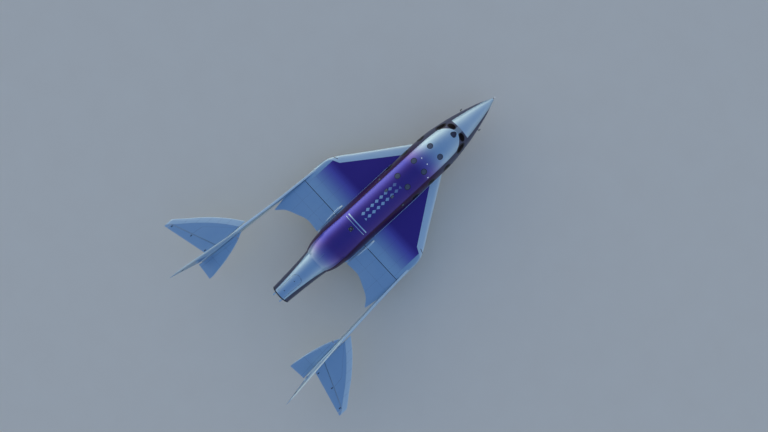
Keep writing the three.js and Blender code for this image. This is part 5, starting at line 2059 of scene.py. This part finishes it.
# %% Gear door
DOOR = {"inner": 1.7115, "front": 9.622, "back": 10.328, "bottom": 0.703, "top": 1.222}
RIB = {"inner": 1.6985, "outer": 1.7125, "bottom": 0.745, "top": 1.185, "half": 0.30}
door_shape = rounded(DOOR["back"] - DOOR["front"], DOOR["top"] - DOOR["bottom"], 0.05, 8)
door_y, door_z = at((DOOR["front"] + DOOR["back"]) / 2), (DOOR["bottom"] + DOOR["top"]) / 2
door = [lofted("door", [
    [(DOOR["inner"] + x, door_y + y * share, door_z + z * share) for y, z in door_shape]
    for x, share in ((0.0, 0.990), (0.003, 1.0), (0.013, 1.0), (0.016, 0.990))
])]
ribs = [((y - 0.007, RIB["bottom"]), (y + 0.007, RIB["top"])) for y in (-0.24, 0.0, 0.24)]
ribs += [((-RIB["half"], z), (RIB["half"], z + 0.013)) for z in (0.745, 0.965, 1.172)]
for low, high in ribs:
    door.append(block(
        "rib", (RIB["inner"], door_y + low[0], low[1]), (RIB["outer"], door_y + high[0], high[1]), 0.003
    ))
for station in (9.80, 10.15):
    hinge_spots = [(1.702, at(station), 1.14), (1.682, at(station), 1.24), (1.682, at(station), 1.34)]
    for start, end in zip(hinge_spots, hinge_spots[1:]):
        door.append(rod("hinge arm", start, end, 0.011, 16))
door.append(rod("link", (leg_x + 0.04, leg_y, 0.880), (1.700, leg_y, 0.972), 0.010, 16))
dress_pair(joined("gear_door_skin_l", door), PALE_PAINT, "root", ["gear_door"])
print("main gear made")

# %% [markdown]
# ## Nose skid
# There is no nose wheel. A short strut carries a shoe with a steel plate that wears away on the runway,
# bolted on so that it can be changed.

# %% Nose strut
skid_y = at(2.42)
foot = (0.0, skid_y, 0.0)
strut = [
    turned("tube", [
        (0.034, 0.400), (0.045, 0.402), (0.049, 0.408), (0.049, 0.440), (0.045, 0.446), (0.043, 0.450),
        (0.043, 1.15), (0.040, 1.16),
    ], foot, UP, 40),
    turned("foot", [
        (0.024, 0.060), (0.030, 0.062), (0.034, 0.080), (0.044, 0.092), (0.044, 0.118), (0.036, 0.126)
    ], foot, UP, 40),
    rod("brace", (0, skid_y - 0.02, 0.43), (0, skid_y - 0.475, 1.20), 0.022, 24),
    pin(0, skid_y - 0.045, 0.455, 0.055, 0.012, 18),
    *plates("cheek", 0, 0.042, 0.006, (skid_y - 0.075, 0.425), (skid_y, 0.485), 0.004),
]
dress(joined("skid_leg_skin", strut), PALE_PAINT, "root", ["skid_leg"])
piston_profile = [(0.028, 0.120), (0.030, 0.122), (0.030, 0.410), (0.028, 0.412)]
dress(turned("skid_piston", piston_profile, foot, UP, 40), BRIGHT, "root")
dress(tray(
    "skid_bay_liner", (-SKID_BAY["half"] + 0.001, at(SKID_BAY["front"]) + 0.001, 0.99),
    (SKID_BAY["half"] - 0.001, at(SKID_BAY["back"]) - 0.001, SKID_BAY["roof"] - 0.001)
), LINER, "root")

# %% Shoe and wear plate
# Distance aft of the strut, bottom, top, half width
SHOE = [
    (-0.330, 0.066, 0.076, 0.040), (-0.305, 0.046, 0.074, 0.060), (-0.260, 0.022, 0.066, 0.071),
    (-0.200, 0.008, 0.060, 0.075), (-0.090, 0.008, 0.056, 0.075), (0.090, 0.008, 0.050, 0.075),
    (0.195, 0.008, 0.044, 0.074), (0.230, 0.030, 0.040, 0.066),
]
WEAR = {"front": -0.285, "back": 0.20, "below": 0.0032, "thick": 0.0085, "narrower": 0.012}
rings = []
for offset in np.linspace(SHOE[0][0], SHOE[-1][0], 36):
    low, high, half = through(SHOE, offset)
    shape = rounded(2 * half, high - low, min(0.010, (high - low) * 0.4), 4)
    rings.append([(x, skid_y + offset, (low + high) / 2 + z) for x, z in shape])
shoe = [
    lofted("shoe", rings),
    *plates("lug", 0, 0.052, 0.009, (skid_y - 0.05, 0.045), (skid_y + 0.05, 0.0905), 0.006),
    pin(0, skid_y, 0.070, 0.068, 0.012, 20),
]
dress(joined("skid_shoe", shoe), DARK_METAL, "root", ["nose_skid"])
wear = []
for offset in np.linspace(WEAR["front"], WEAR["back"], 28):
    low, high, half = through(SHOE, offset)
    shape = rounded(2 * half - WEAR["narrower"], WEAR["thick"], 0.003, 3)
    wear.append([(x, skid_y + offset, low - WEAR["below"] + z) for x, z in shape])
dress(lofted("skid_wear_plate", wear), BARE_METAL, "root")
spots = [
    ((sign * 0.045, skid_y + offset, float(through(SHOE, offset)[1])), UP)
    for sign in (-1, 1) for offset in (-0.20, -0.12, 0.12, 0.18)
]
dress(bolts("skid_bolts", spots, 0.007, 0.004), BARE_METAL, "root")
print("nose skid made")

# %% [markdown]
# ## Floor, light and camera
# The floor is pale and plain. All the light is a soft world: dim blue overhead, bright towards the
# horizon, and brightest to port, so that the round body shades from one side to the other. The camera
# hangs straight above, as in the photograph: a wide lens, 29 metres over the ground, a little to
# starboard of the centre line.

# %% Floor
FLOOR_HALF = 60.0
FLOOR_DARK = (0.90, 0.82, 0.67)
FLOOR_LIGHT = (0.93, 0.86, 0.71)
floor = mesh_object("floor", [
    (FLOOR_HALF * x, FLOOR_HALF * y, 0) for x, y in ((-1, -1), (1, -1), (1, 1), (-1, 1))
], [(0, 1, 2, 3)])
floor_finish = Finish("pale_floor", Roughness=0.9)
where, x, y, z = floor_finish.place()
cloud = floor_finish.noise(where, 0.6, 3.0)
floor_finish.feed("Base Color", floor_finish.blend(cloud, FLOOR_DARK, FLOOR_LIGHT))
floor.data.materials.append(floor_finish.material)

# %% Light
ZENITH = (0.125, 0.225, 0.450)
HORIZON_PORT = (1.95, 1.88, 1.60)
HORIZON_STARBOARD = (0.50, 0.56, 0.66)
world = bpy.data.worlds.new("studio")
bpy.context.scene.world = world
world.use_nodes = True
sky = Tree(world.node_tree)
_, port, _, up = sky.place("Generated")
low = (1 - up.most(0.0)) ** 1.5
horizon = sky.blend((port * 0.5 + 0.5) ** 3.0, HORIZON_STARBOARD, HORIZON_PORT)
put(sky.tree, world.node_tree.nodes["Background"].inputs["Color"], sky.blend(low, ZENITH, horizon))
bpy.context.scene.view_settings.view_transform = "Standard"

# %% Camera
CAMERA = {"height": 29.2, "station": 8.679, "x": -0.656}
NOSE_IN_VIEW = (0.7350, 0.6782)
camera_data = bpy.data.cameras.new("camera")
camera_data.lens = 24.0
camera_data.sensor_width = 36.0
camera = placed("camera", camera_data)
camera.location = (CAMERA["x"], at(CAMERA["station"]), CAMERA["height"])
camera.rotation_euler = (0, 0, math.atan2(-NOSE_IN_VIEW[0], -NOSE_IN_VIEW[1]))
bpy.context.scene.camera = camera
